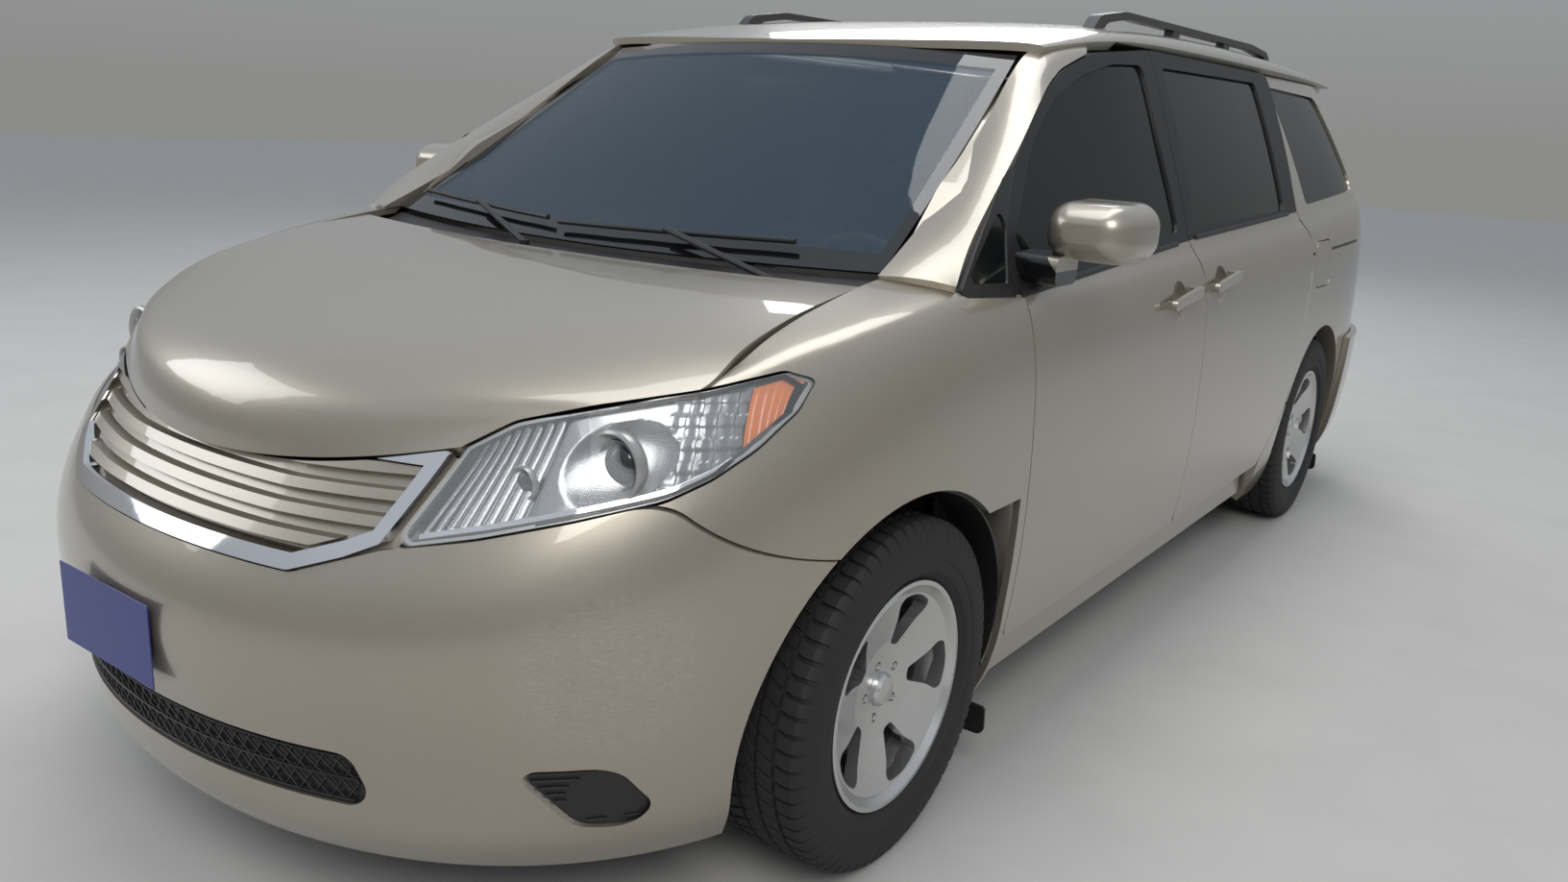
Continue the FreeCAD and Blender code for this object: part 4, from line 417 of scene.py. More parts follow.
def add_materials():
    glass = (0.006, 0.008, 0.008)
    FINISH.update({
        "paint": paint_finish("paint_finish"),
        "glass": gloss_glass("tinted_glass", glass, 0.88, specular=0.22),
        "windscreen": windshield_finish(),
        "lens": gloss_glass("clear_lens", (0.85, 0.88, 0.90), 0.08, coat=0.5),
        "black_plastic": matte("black_plastic_finish", (0.012, 0.012, 0.013), 0.42, bump=0.3),
        "grey_plastic": matte("grey_plastic_finish", (0.13, 0.12, 0.105), 0.55, bump=0.4, depth=0.0006),
        "chrome": chrome_finish("chrome_finish", (0.78, 0.78, 0.79), 0.06),
        "alloy": matte("alloy_finish", (0.60, 0.60, 0.59), 0.26, 0.9, 900.0, 0.06, 0.05),
        "tyre": matte("tyre_finish", (0.014, 0.014, 0.014), 0.72, grain=250.0, bump=0.3, depth=0.0005),
        "chassis": matte("chassis_finish", (0.022, 0.022, 0.022), 0.6, bump=0.4, depth=0.001),
        "cast": matte("cast_finish", (0.13, 0.12, 0.11), 0.62, 0.6, 300.0, 0.3, 0.5, 0.001),
        "steel": matte("steel_finish", (0.30, 0.28, 0.25), 0.5, 0.8, 80.0, 0.35, 0.3),
        "fabric": fabric_finish("seat_fabric", (0.30, 0.27, 0.225)),
        "red_lens": red_lens_finish(),
        "plate": matte("plate_finish", (0.018, 0.030, 0.20), 0.28, grain=40.0, variation=0.06, bump=0.02),
        "grille_paint": paint_finish("grille_paint_finish"),
        "door": paint_finish("door_paint", surround=True, inner="x"),
        "body_side": paint_finish("side_paint", inner="x"),
        "roof": paint_finish("roof_paint", inner="z", inner_colour=LINING_COLOUR),
        "gate": paint_finish("gate_paint", inner="y"),
        "bumper": paint_finish("bumper_paint", scratched=True),
        "mirror": paint_finish("mirror_paint", foot=True),
        "floor": floor_pan_finish(),
        "amber": gloss_glass("amber_lens", (0.62, 0.15, 0.01), 0.97, roughness=0.12),
        "dark_chrome": chrome_finish("dark_chrome", (0.16, 0.16, 0.17), 0.10),
        "reflector": chrome_finish("reflector_finish", (0.30, 0.31, 0.32), 0.24),
        "lamp_glass": gloss_glass("lamp_glass", (0.02, 0.025, 0.03), 0.85, specular=1.0),
        "mirror_glass": chrome_finish("mirror_glass", (0.70, 0.73, 0.75), 0.015),
        "lamp_grey": matte("lamp_grey_finish", (0.42, 0.42, 0.41), 0.30, 0.6, 500.0, 0.05, 0.05),
        "wiper": matte("wiper_finish", (0.010, 0.010, 0.010), 0.35, bump=0.1),
        "dash": matte("dash_finish", (0.075, 0.070, 0.062), 0.6, grain=900.0, bump=0.5, depth=0.0008),
        "screen_black": gloss_glass("screen_finish", (0.006, 0.007, 0.008), 1.0, roughness=0.08),
        "rail": matte("rail_finish", (0.060, 0.060, 0.060), 0.42, 0.3, bump=0.1),
    })
    slots = {row["node"]: row["material_slot"] for row in frame["record"]["subparts"]}
    special = {
        "front_door_left": "door", "front_door_right": "door", "sliding_doors": "door",
        "quarter_panels": "body_side", "side_frames": "body_side", "roof_panel": "roof", "liftgate": "gate",
        "front_bumper": "bumper", "mirror_left": "mirror", "mirror_right": "mirror", "floor_pan": "floor",
        "headlamp_housings": "lamp_grey", "dashboard": "dash", "steering_wheel": "dash", "roof_rails": "rail",
    }
    for name, node in NODES.items():
        node.data.materials.clear()
        node.data.materials.append(FINISH[special.get(name, slots[name])])


# Shape helpers: every place is in millimetres in the vehicle's frame
def closed_mesh(name, shape):
    """A mesh in metres of points in millimetres, with its faces turned outward."""
    mesh = bpy.data.meshes.new(name)
    mesh.from_pydata([Vector(point) / 1000 for point in shape[0]], [], shape[1])
    work = bmesh.new()
    work.from_mesh(mesh)
    bmesh.ops.recalc_face_normals(work, faces=work.faces)
    work.to_mesh(mesh)
    work.free()
    return mesh


def add_piece(name, shape, finish, body="body", angle=35, bevel=0.0):
    mesh = closed_mesh(name, shape)
    mesh.materials.append(FINISH[finish])
    mesh.shade_smooth()
    mesh.set_sharp_from_angle(angle=math.radians(angle))
    piece = bpy.data.objects.new(name, mesh)
    scene.collection.objects.link(piece)
    if bevel:
        rounding = piece.modifiers.new("edge rounding", "BEVEL")
        rounding.width = bevel / 1000
        rounding.segments = 2
        rounding.limit_method = "ANGLE"
    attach(piece, body)
    return piece


def merged(shapes):
    points, faces = [], []
    for shape_points, shape_faces in shapes:
        start = len(points)
        points.extend(shape_points)
        faces.extend(tuple(start + i for i in face) for face in shape_faces)
    return points, faces


def lofted(rings, loop=False):
    """A closed surface through rings of equally many points; loop joins the last to the first."""
    count = len(rings[0])
    points = [point for ring in rings for point in ring]
    faces = []
    rows = len(rings) if loop else len(rings) - 1
    for row in range(rows):
        a = row * count
        b = (row + 1) % len(rings) * count
        for i in range(count):
            j = (i + 1) % count
            faces.append((a + i, a + j, b + j, b + i))
    if not loop:
        faces.append(tuple(reversed(range(count))))
        faces.append(tuple((len(rings) - 1) * count + i for i in range(count)))
    return points, faces


def revolved(profile, place, axis, steps=48, loop=False):
    """A turned shape from (radius, distance along the axis) pairs."""
    axis = Vector(axis).normalized()
    side = axis.orthogonal().normalized()
    over = axis.cross(side)
    turns = [2 * math.pi * i / steps for i in range(steps)]
    rings = []
    for radius, distance in profile:
        middle = Vector(place) + axis * distance
        rings.append([middle + (side * math.cos(t) + over * math.sin(t)) * radius for t in turns])
    return lofted(rings, loop)


def oval(width, height, count=12, power=1.0):
    """A closed section; powers below one make it squarer."""
    section = []
    for i in range(count):
        c, s = math.cos(2 * math.pi * i / count), math.sin(2 * math.pi * i / count)
        section.append((math.copysign(abs(c) ** power, c) * width / 2,
                        math.copysign(abs(s) ** power, s) * height / 2))
    return section


def swept(path, sections, up=(0, 0, 1)):
    """A section, or one section for each point, carried along a path."""
    path = [Vector(point) for point in path]
    if isinstance(sections[0][0], (int, float)):
        sections = [sections] * len(path)
    rings = []
    for i, point in enumerate(path):
        run = (path[min(i + 1, len(path) - 1)] - path[max(i - 1, 0)]).normalized()
        side = run.cross(Vector(up)).normalized()
        top = side.cross(run)
        rings.append([point + side * u + top * v for u, v in sections[i]])
    return lofted(rings)


def slab(front, back):
    """A closed sheet between two grids of the same number of rows and columns."""
    rows, columns = len(front), len(front[0])
    points = [point for row in front for point in row] + [point for row in back for point in row]
    half = rows * columns
    faces = []
    for r in range(rows - 1):
        for c in range(columns - 1):
            a, b = r * columns + c, r * columns + c + 1
            faces.append((a, b, b + columns, a + columns))
            faces.append((half + a, half + a + columns, half + b + columns, half + b))
    rim = list(range(columns))
    rim += [r * columns + columns - 1 for r in range(1, rows)]
    rim += [(rows - 1) * columns + c for c in range(columns - 2, -1, -1)]
    rim += [r * columns for r in range(rows - 2, 0, -1)]
    for i, a in enumerate(rim):
        b = rim[(i + 1) % len(rim)]
        faces.append((b, a, half + a, half + b))
    return points, faces


def along(path, fraction):
    """The place a fraction of the way along a bent line."""
    lengths = [(Vector(b) - Vector(a)).length for a, b in zip(path, path[1:])]
    left = fraction * sum(lengths)
    for (a, b), length in zip(zip(path, path[1:]), lengths):
        if left <= length or b is path[-1]:
            return Vector(a).lerp(Vector(b), min(left / length, 1))
        left -= length


def grid_between(lower, upper, columns, rows, ends=(0, 1), sides=(0, 1)):
    """Rows of 2-D points between two bent lines."""
    grid = []
    for r in range(rows):
        v = sides[0] + (sides[1] - sides[0]) * r / (rows - 1)
        row = []
        for c in range(columns):
            u = ends[0] + (ends[1] - ends[0]) * c / (columns - 1)
            row.append(along(lower, u).lerp(along(upper, u), v))
        grid.append(row)
    return grid


RAYS = {
    "front": (lambda a, b: (a, -4000, b), Vector((0, 1, 0))),
    "rear": (lambda a, b: (a, 4000, b), Vector((0, -1, 0))),
    "left": (lambda a, b: (2000, a, b), Vector((-1, 0, 0))),
    "right": (lambda a, b: (-2000, a, b), Vector((1, 0, 0))),
    "top": (lambda a, b: (a, b, 3000), Vector((0, 0, -1))),
    "inner left": (lambda a, b: (500, a, b), Vector((1, 0, 0))),
    "inner right": (lambda a, b: (-500, a, b), Vector((-1, 0, 0))),
}


def surface(*names):
    """The faces of CAD nodes, to set pieces on."""
    points, faces = [], []
    for name in names:
        mesh = NODES[name].data
        start = len(points)
        points.extend(vertex.co * 1000 for vertex in mesh.vertices)
        faces.extend([start + i for i in polygon.vertices] for polygon in mesh.polygons)
    return BVHTree.FromPolygons(points, faces)


def landed(tree, way, place, lift=0.0):
    """The point of a surface behind a 2-D place, raised by lift, or None beside the surface."""
    start, ray = RAYS[way]
    point = tree.ray_cast(Vector(start(*place)), ray)[0]
    return None if point is None else point - ray * lift


def ribbon(tree, way, path, width, thickness, lift=0.3, step=20.0, crown=0.0):
    """A narrow strip that follows a surface."""
    length = sum((Vector(b) - Vector(a)).length for a, b in zip(path, path[1:]))
    count = max(int(length / step), 2) + 1
    places = [along(path, i / (count - 1)) for i in range(count)]
    out = -RAYS[way][1]
    rings = []
    for i, place in enumerate(places):
        run = (places[min(i + 1, count - 1)] - places[max(i - 1, 0)]).normalized()
        off = Vector((-run.y, run.x)) * width / 2
        feet = [landed(tree, way, place + off * s, lift) for s in (-1, -0.5, 0.5, 1)]
        if None in feet:
            continue
        tops = [foot + out * (thickness + rise) for foot, rise in zip(feet, (0, crown, crown, 0))]
        rings.append([feet[0], *tops, feet[3]])
    return lofted(rings)


def patch(tree, way, grid, thickness, lift=0.3):
    """A sheet that follows a surface over a grid of 2-D places."""
    out = -RAYS[way][1]
    back = [[landed(tree, way, place, lift) for place in row] for row in grid]
    front = [[point + out * thickness for point in row] for row in back]
    return slab(front, back)


def mirrored(path, sign):
    """The path itself for the left side, or its mirror image for the right."""
    return [(sign * point[0], *point[1:]) for point in path]


# Tyres: (distance from the middle, radius, depth of the cuts across) through one half of the tread and wall
TYRE_HALF = [
    (0, 354, 0), (17, 354, 3), (18.5, 347, 0), (24.5, 347, 0), (26, 354, 3), (40, 353.8, 5), (56, 353.4, 5),
    (57.5, 346.5, 0), (63.5, 346.5, 0), (65, 353, 6), (80, 352.3, 6), (95.5, 351, 6), (103, 346, 6),
    (109.5, 336, 5), (113, 322, 1.5), (116, 304, 0), (117.5, 292, 0), (117.2, 280, 0), (116.8, 276.5, 0),
    (115.4, 275.5, 0), (116.2, 262, 0), (113.5, 250, 0), (110.0, 247, 0), (106, 242, 0), (101, 236, 0),
    (97, 233.5, 0), (94, 231.5, 0), (90, 216, 0),
]
TYRE_PITCHES = 66
# Cuts across the tread: (part of a pitch, share of the cut's depth)
TYRE_CUT = [(0.0, 0), (0.05, 1), (0.22, 1), (0.27, 0), (0.62, 0)]
# Lean of the cuts, in pitches, from the middle to this distance from it, and the two halves' offset
TREAD_SLANT = 0.9
SLANT_REACH = 75
HALF_OFFSET = 0.5
TYRE_INSIDE = [(90, 212, 0), (-90, 212, 0)]
WHEELS = {
    "front_left": (860, -1557.5), "front_right": (-860, -1557.5),
    "rear_left": (860, 1472.5), "rear_right": (-860, 1472.5),
}
WHEEL_Z = 354


def tyre_shape(x, y):
    """A tyre with four grooves round it and blocks cut across its shoulders."""
    profile = [(-a, r, cut) for a, r, cut in reversed(TYRE_HALF[1:])] + TYRE_HALF + TYRE_INSIDE
    turns = [(pitch + part, share) for pitch in range(TYRE_PITCHES) for part, share in TYRE_CUT]
    rings = []
    for across, radius, cut in profile:
        ring = []
        lean = min(abs(across), SLANT_REACH) / SLANT_REACH * TREAD_SLANT + (HALF_OFFSET if across > 0 else 0)
        for turn, share in turns:
            angle = 2 * math.pi * (turn + lean) / TYRE_PITCHES
            r = radius - cut * share
            ring.append((x + across, y + r * math.cos(angle), WHEEL_Z + r * math.sin(angle)))
        rings.append(ring)
    return lofted(rings, loop=True)


# Wheel nuts: (radius, distance out of the wheel's middle)
NUT = [(8.2, 34), (8.2, 50), (7.6, 52.5), (5.0, 54.5), (2.0, 55.2)]
NUT_CIRCLE = 57.15
NUT_PHASE = 18
VALVE = [(3.6, 0), (3.6, 14), (2.6, 15), (2.6, 24), (1.6, 25)]
# The valve's foot from the wheel's middle: outward, forward and down
VALVE_FOOT = (60, 148, 134)


def add_wheels():
    for place, (x, y) in WHEELS.items():
        out = 1 if x > 0 else -1
        tyre = add_piece(f"dressed_tyre_{place}", tyre_shape(x, y), "tyre", f"wheel_{place}", angle=28)
        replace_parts(tyre, f"tyre_{place}")
        nuts = []
        for i in range(5):
            angle = math.radians(NUT_PHASE + 72 * i)
            centre = (x, y - out * NUT_CIRCLE * math.sin(angle), WHEEL_Z + NUT_CIRCLE * math.cos(angle))
            nuts.append(revolved(NUT, centre, (out, 0, 0), steps=6))
        add_piece(f"wheel_nuts_{place}", merged(nuts), "chrome", f"wheel_{place}", angle=20, bevel=0.5)
        foot = (x + out * VALVE_FOOT[0], y - out * VALVE_FOOT[1], WHEEL_Z - VALVE_FOOT[2])
        add_piece(f"valve_{place}", revolved(VALVE, foot, (out, 0.25 * out, 0.2), 16), "black_plastic",
                  f"wheel_{place}")


# Headlamps
LAMP_LOWER = [(488, 745), (605, 772), (715, 804), (805, 833), (841, 862), (868, 902), (885, 955)]
LAMP_UPPER = [(530, 893), (586, 935), (679, 964), (795, 991), (856, 1014), (884, 1000)]
PROJECTOR = (726, 879)
PROJECTOR_WELL = 66.0
LAMP_DEPTH = 25.0
SMALL_BOWL = (618, 846)
SHEET = 2.5
# Turned lamp parts: (radius, distance behind the lens)
BEZEL = [(39, 34), (46, 18), (53, 12), (58, 15), (60, 24), (56, 36)]
PROJECTOR_RING = [(34, 36), (38, 24), (41, 24), (43, 36)]
SMALL_RING = [(21, 30), (24, 22), (27, 20), (29, 24), (28, 32)]
# Shares of the lamp's length where the fluted part ends and the stepped part starts
FLUTES_END = 0.34
STEPS_START = 0.64


def lamp_depth(u, x, z):
    """How far the reflector lies behind the lens."""
    if u < FLUTES_END:
        flute = abs(math.sin(u / FLUTES_END * math.pi * 9))
        return LAMP_DEPTH + 5.0 * flute
    reach = math.hypot(x - PROJECTOR[0], z - PROJECTOR[1]) / PROJECTOR_WELL
    if reach < 1:
        return LAMP_DEPTH + 22.0 * (1 - reach ** 3)
    if u > STEPS_START:
        step = int((u - STEPS_START) * 48) % 2 + int((z - 800) / 17) % 2
        return LAMP_DEPTH - 4 + 3.5 * step
    return LAMP_DEPTH


def corner_depth(u, x, z):
    return 16 + 2.5 * abs(math.sin(u * 150))


def lamp_sheet(tree, sign, ends, sides, columns, rows, depth):
    """A thin sheet behind the lens, at a depth that changes from place to place."""
    front = []
    for row in range(rows):
        v = sides[0] + (sides[1] - sides[0]) * row / (rows - 1)
        line = []
        for column in range(columns):
            u = ends[0] + (ends[1] - ends[0]) * column / (columns - 1)
            x, z = along(LAMP_LOWER, u).lerp(along(LAMP_UPPER, u), v)
            point = landed(tree, "front", (sign * x, z))
            line.append(point + Vector((0, depth(u, x, z), 0)))
        front.append(line)
    return slab(front, [[point + Vector((0, SHEET, 0)) for point in row] for row in front])


def lamp_line(share, steps):
    """The line that lies a share of the way up the lamp."""
    return [along(LAMP_LOWER, i / steps).lerp(along(LAMP_UPPER, i / steps), share) for i in range(steps + 1)]


def dome(radius, depth, rise, step):
    """The profile of a bulging glass, from its rim to its middle."""
    turns = [math.radians(a) for a in range(0, 88, step)]
    return [(radius * math.cos(t), depth - rise * math.sin(t)) for t in turns]


def add_headlamps():
    tree = surface("headlamp_lenses")
    for side, sign in SIDES:
        reflector = lamp_sheet(tree, sign, (0.035, 0.835), (0.06, 0.94), 130, 40, lamp_depth)
        add_piece(f"lamp_reflector_{side}", reflector, "reflector", angle=25)
        corner = lamp_sheet(tree, sign, (0.842, 0.965), (0.1, 0.9), 40, 30, corner_depth)
        add_piece(f"lamp_corner_{side}", corner, "amber", angle=25)
        for (x, z), parts in ((PROJECTOR, (("bezel", BEZEL, 64, True, "lamp_grey"),
                                           ("ring", PROJECTOR_RING, 64, True, "dark_chrome"),
                                           ("projector", dome(36, 40, 24, 8), 64, False, "lamp_glass"))),
                              (SMALL_BOWL, (("small_ring", SMALL_RING, 48, True, "lamp_grey"),
                                            ("small_bowl", dome(19, 32, 11, 11), 48, False, "lamp_glass")))):
            centre = landed(tree, "front", (sign * x, z))
            for name, profile, steps, loop, finish in parts:
                add_piece(f"lamp_{name}_{side}", revolved(profile, centre, (0, 1, 0), steps, loop), finish)
        strip = ribbon(tree, "front", mirrored(lamp_line(0.075, 24), sign), 9, 9, lift=-24, step=12)
        add_piece(f"lamp_sill_{side}", strip, "chrome", bevel=1.0)
        edge = lamp_line(0.03, 30)[1:-1] + lamp_line(0.97, 30)[-2:0:-1]
        edge.append(edge[0])
        gasket = ribbon(tree, "front", mirrored(edge, sign), 6, 3, lift=-9, step=10)
        add_piece(f"lamp_gasket_{side}", gasket, "black_plastic")


# Lower intake and fog-lamp blanks
INTAKE_TOP, INTAKE_LOW = (455, 404), (480, 300)
INTAKE_MARGIN = 7
# Spacing of the crossed wires along the intake, and how far they lean for each step up
WIRE_PITCH = 28.5
WIRE_LEAN = 0.75
WIRE_STEPS = 8
FOG_POCKET = [(676, 398), (790, 396), (818, 309), (790, 272), (735, 282)]
# The round blank in the pocket: middle, and radius that the ribs keep clear of
FOG_CENTRE = (774, 336)
FOG_CLEARANCE = 47
RIB_MARGIN = 5
SHORTEST_RIB = 12
FOG_RIBS = (290, 304, 318, 332, 346, 360, 374, 388)


def add_intake():
    tree = surface("bumper_inserts")
    low, high = INTAKE_LOW[1] + INTAKE_MARGIN, INTAKE_TOP[1] - INTAKE_MARGIN
    wires = []
    rise = high - low
    for lean in (-1, 1):
        start = -INTAKE_LOW[0] - rise
        while start < INTAKE_LOW[0] + rise:
            places = []
            for i in range(WIRE_STEPS):
                z = low + rise * i / (WIRE_STEPS - 1)
                x = start + lean * (z - low) * WIRE_LEAN
                limit = (INTAKE_LOW[0] + (INTAKE_TOP[0] - INTAKE_LOW[0]) * (z - INTAKE_LOW[1])
                         / (INTAKE_TOP[1] - INTAKE_LOW[1]) - 12)
                point = landed(tree, "front", (x, z), 5)
                if abs(x) < limit and point is not None:
                    places.append(point)
            if len(places) > 2:
                wires.append(swept(places, oval(3.2, 4.5, 6), up=(0, 1, 0)))
            start += WIRE_PITCH
    for z in (low + 2, low + rise / 2, high - 2):
        places = [landed(tree, "front", (x, z), 6) for x in range(-456, 457, 12)]
        wires.append(swept([p for p in places if p is not None], oval(4, 7, 8), up=(0, 1, 0)))
    add_piece("intake_mesh", merged(wires), "black_plastic", angle=60)
    for side, sign in SIDES:
        ribs = []
        for z in FOG_RIBS:
            inner, outer = pocket_span(z)
            inner, outer = inner + RIB_MARGIN, outer - RIB_MARGIN
            spans = [(inner, outer)]
            square = FOG_CLEARANCE ** 2 - (z - FOG_CENTRE[1]) ** 2
            if square > 0:
                half = math.sqrt(square)
                spans = [(inner, FOG_CENTRE[0] - half), (FOG_CENTRE[0] + half, outer)]
            for a, b in spans:
                if b - a > SHORTEST_RIB:
                    path = mirrored([(a, z), (b, z)], sign)
                    ribs.append(ribbon(tree, "front", path, 5, 7, lift=-1, step=8))
        add_piece(f"fog_ribs_{side}", merged(ribs), "black_plastic", bevel=0.8)


def pocket_span(z):
    """The inner and outer x of the fog-lamp pocket at a height."""
    crossings = []
    for (x0, z0), (x1, z1) in zip(FOG_POCKET, FOG_POCKET[1:] + FOG_POCKET[:1]):
        if min(z0, z1) <= z < max(z0, z1):
            crossings.append(x0 + (x1 - x0) * (z - z0) / (z1 - z0))
    return min(crossings), max(crossings)


# Doors and sides: the (y, z) ends of the belt strips and of the sliding door's track
BELT_FRONT = [(-1127, 1096), (-167, 1151)]
BELT_REAR = [(-20, 1161), (948, 1197)]
TRACK = [(1010, 1046), (1900, 1066)]


def add_sides():
    for side, sign in SIDES:
        door = surface(f"front_door_{side}")
        strip = ribbon(door, side, BELT_FRONT, 13, 2.5, step=30, crown=1.2)
        add_piece(f"belt_strip_{side}", strip, "black_plastic", f"front_door_{side}")
        slider = surface("sliding_doors")
        strip = ribbon(slider, side, BELT_REAR, 13, 2.5, step=30, crown=1.2)
        add_piece(f"rear_belt_strip_{side}", strip, "black_plastic")
        quarter = surface("quarter_panels")
        slot = ribbon(quarter, side, TRACK, 9, 0.8, step=30)
        add_piece(f"door_track_{side}", slot, "black_plastic")
        add_mirror_glass(side, sign)
        add_linings(side, sign)


# Linings: name, CAD node, first and last y of the armrest, its height, (y, z) of the speaker
LININGS = (
    ("front", "front_door_{}", -950, -330, 838, (-930, 560)),
    ("rear", "sliding_doors", 160, 720, 850, (180, 600)),
)
# Turned speaker parts: (radius, distance into the cabin)
SPEAKER_RIM = [(70, 0), (78, 0), (78, 6), (74, 10), (70, 8)]
SPEAKER_CONE = [(69, 1), (66, 5), (40, 7), (12, 8)]


def add_linings(side, sign):
    """Armrest, pull and speaker on the inner faces of the doors."""
    for name, node, start, end, z, speaker in LININGS:
        tree = surface(node.format(side))
        way = f"inner {side}"
        body = f"front_door_{side}" if name == "front" else "body"
        rest = ribbon(tree, way, [(start, z), (end, z + 14)], 62, 40, step=40, crown=10)
        add_piece(f"{name}_armrest_{side}", rest, "dash", body, bevel=6)
        pull = ribbon(tree, way, [(start + 90, z + 70), (start + 230, z + 74)], 22, 16, step=20, crown=4)
        add_piece(f"{name}_door_pull_{side}", pull, "chrome", body, bevel=3)
        centre = landed(tree, way, speaker)
        inward = (-sign, 0, 0)
        rim = revolved(SPEAKER_RIM, centre, inward, 48, loop=True)
        add_piece(f"{name}_speaker_rim_{side}", rim, "black_plastic", body)
        cone = revolved(SPEAKER_CONE, centre, inward, 48)
        add_piece(f"{name}_speaker_{side}", cone, "grey_plastic", body)


# Mirror glass: its middle, half its width and height, and how far it bulges
MIRROR_MIDDLE = (1030, -921, 1226)
MIRROR_HALF = (84, 50)
MIRROR_BULGE = 3.0


def add_mirror_glass(side, sign):
    front, back = [], []
    for r in range(13):
        v = -1 + r / 6
        row = []
        for c in range(21):
            u = -1 + c / 10
            x = sign * (MIRROR_MIDDLE[0] + u * MIRROR_HALF[0] * (1 - 0.10 * v ** 6))
            z = MIRROR_MIDDLE[2] + v * MIRROR_HALF[1] * (1 - 0.28 * abs(u) ** 6)
            bow = MIRROR_BULGE * (1 - u * u * 0.6 - v * v * 0.4)
            row.append(Vector((x, MIRROR_MIDDLE[1] + bow, z)))
        front.append(row)
        back.append([point + Vector((0, -3, 0)) for point in row])
    add_piece(f"mirror_glass_{side}", slab(front, back), "mirror_glass", f"front_door_{side}")


# Seats: cushions start as rounded blocks and are swollen by a cloth simulation
SEAT_VOXEL = 0.013
SEAT_SWELL = 0.024
SIMULATION_FRAMES = 20
CUSHION_PRESSURE = 4.0


def pad_block(centre, half, roundness=0.55, lean=0.0, taper=0.0, pull=0.35):
    """A rounded block; lean moves its top back, taper narrows it and pull draws in its ends."""
    rings = []
    for k in range(9):
        v = -1 + k / 4
        shrink = 1 - abs(v) ** 4 * pull
        z = centre[2] + v * half[2]
        y = centre[1] + lean * (v + 1) / 2
        narrow = 1 - taper * (v + 1) / 2
        section = oval(half[0] * 2 * shrink * narrow, half[1] * 2 * shrink, 28, roundness)
        rings.append([Vector((centre[0] + a, y + b, z)) for a, b in section])
    return lofted(rings)


def seat_pads(half):
    """Cushion, backrest and head restraint of one seat around x = 0, y = 0, floor at z = 0."""
    inner = half - 92
    pads = [
        pad_block((0, -225, 190), (inner, 255, 42)),
        pad_block((0, -468, 186), (inner + 62, 44, 44), 0.7),
    ]
    for sign in (-1, 1):
        pads.append(pad_block((sign * (half - 62), -225, 200), (38, 250, 46), 0.6))
        pads.append(pad_block((sign * (half - 72), 22, 500), (38, 62, 262), 0.6, 100, 0.1, 0.15))
    pads.append(pad_block((0, 10, 515), (inner, 50, 275), 0.45, 108, 0.06, 0.12))
    pads.append(pad_block((0, 150, 876), (104, 44, 92), 0.55, 22))
    return merged(pads)


def bench_pads():
    pads = []
    for x in (-380, 0, 380):
        pads.append(pad_block((x, 1372, 546), (182, 236, 34), 0.4, pull=0.2))
        pads.append(pad_block((x, 1690, 850), (180, 32, 250), 0.4, 58, pull=0.08))
    return merged(pads)


def swollen(name, shape):
    """A cushion mesh: blocks joined by a voxel remesh, then blown up as cloth and kept near its start."""
    piece = bpy.data.objects.new(name, closed_mesh(name, shape))
    scene.collection.objects.link(piece)
    remesh = piece.modifiers.new("remesh", "REMESH")
    remesh.mode = "VOXEL"
    remesh.voxel_size = SEAT_VOXEL
    piece.data = evaluated_mesh(piece)
    piece.modifiers.clear()
    start = [vertex.co.copy() for vertex in piece.data.vertices]
    cloth = piece.modifiers.new("swelling", "CLOTH")
    cloth.settings.use_pressure = True
    cloth.settings.uniform_pressure_force = CUSHION_PRESSURE
    cloth.settings.effector_weights.gravity = 0
    for step in range(1, SIMULATION_FRAMES + 1):
        scene.frame_set(step)
    blown = evaluated_mesh(piece)
    piece.modifiers.clear()
    for vertex, before, after in zip(piece.data.vertices, start, blown.vertices):
        move = after.co - before
        if move.length > SEAT_SWELL:
            move *= SEAT_SWELL / move.length
        vertex.co = before + move
    scene.frame_set(1)
    result = piece.data
    bpy.data.objects.remove(piece)
    return result


def evaluated_mesh(piece):
    return bpy.data.meshes.new_from_object(piece.evaluated_get(bpy.context.evaluated_depsgraph_get()))


def place_pads(name, mesh, place, width=1.0):
    copy = mesh.copy()
    copy.transform(Matrix.Translation(Vector(place) / 1000) @ Matrix.Diagonal((width, 1, 1, 1)))
    copy.materials.clear()
    copy.materials.append(FINISH["fabric"])
    copy.shade_smooth()
    piece = bpy.data.objects.new(name, copy)
    scene.collection.objects.link(piece)
    smoothing = piece.modifiers.new("smoothing", "SUBSURF")
    smoothing.levels = 1
    smoothing.render_levels = 1
    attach(piece, "body")
    return piece


# Seats: name, middle x, y of the hinge line and half width
SEATS = [
    ("front_seat_left", 370, -130, 255), ("front_seat_right", -370, -130, 255),
    ("middle_seat_left", 370, 800, 240), ("middle_seat_right", -370, 800, 240),
]
SEAT_FLOOR_Z = 302
# Seat base: (height, width, depth) of its sections
SEAT_BASE = ((0, 400, 430), (60, 360, 400), (115, 400, 440), (138, 440, 470))
# Head restraint posts and hinge covers: (distance behind the hinge line, height) along them
POST_SPREAD = 60
POST = ((112, 740), (142, 830))
HINGE_COVER = ((-60, 150), (10, 170), (40, 230))
BENCH_Y = 1385
# Rear bench frame: (height, depth) of its sections
BENCH_FRAME = ((440, 400), (505, 470), (520, 470))


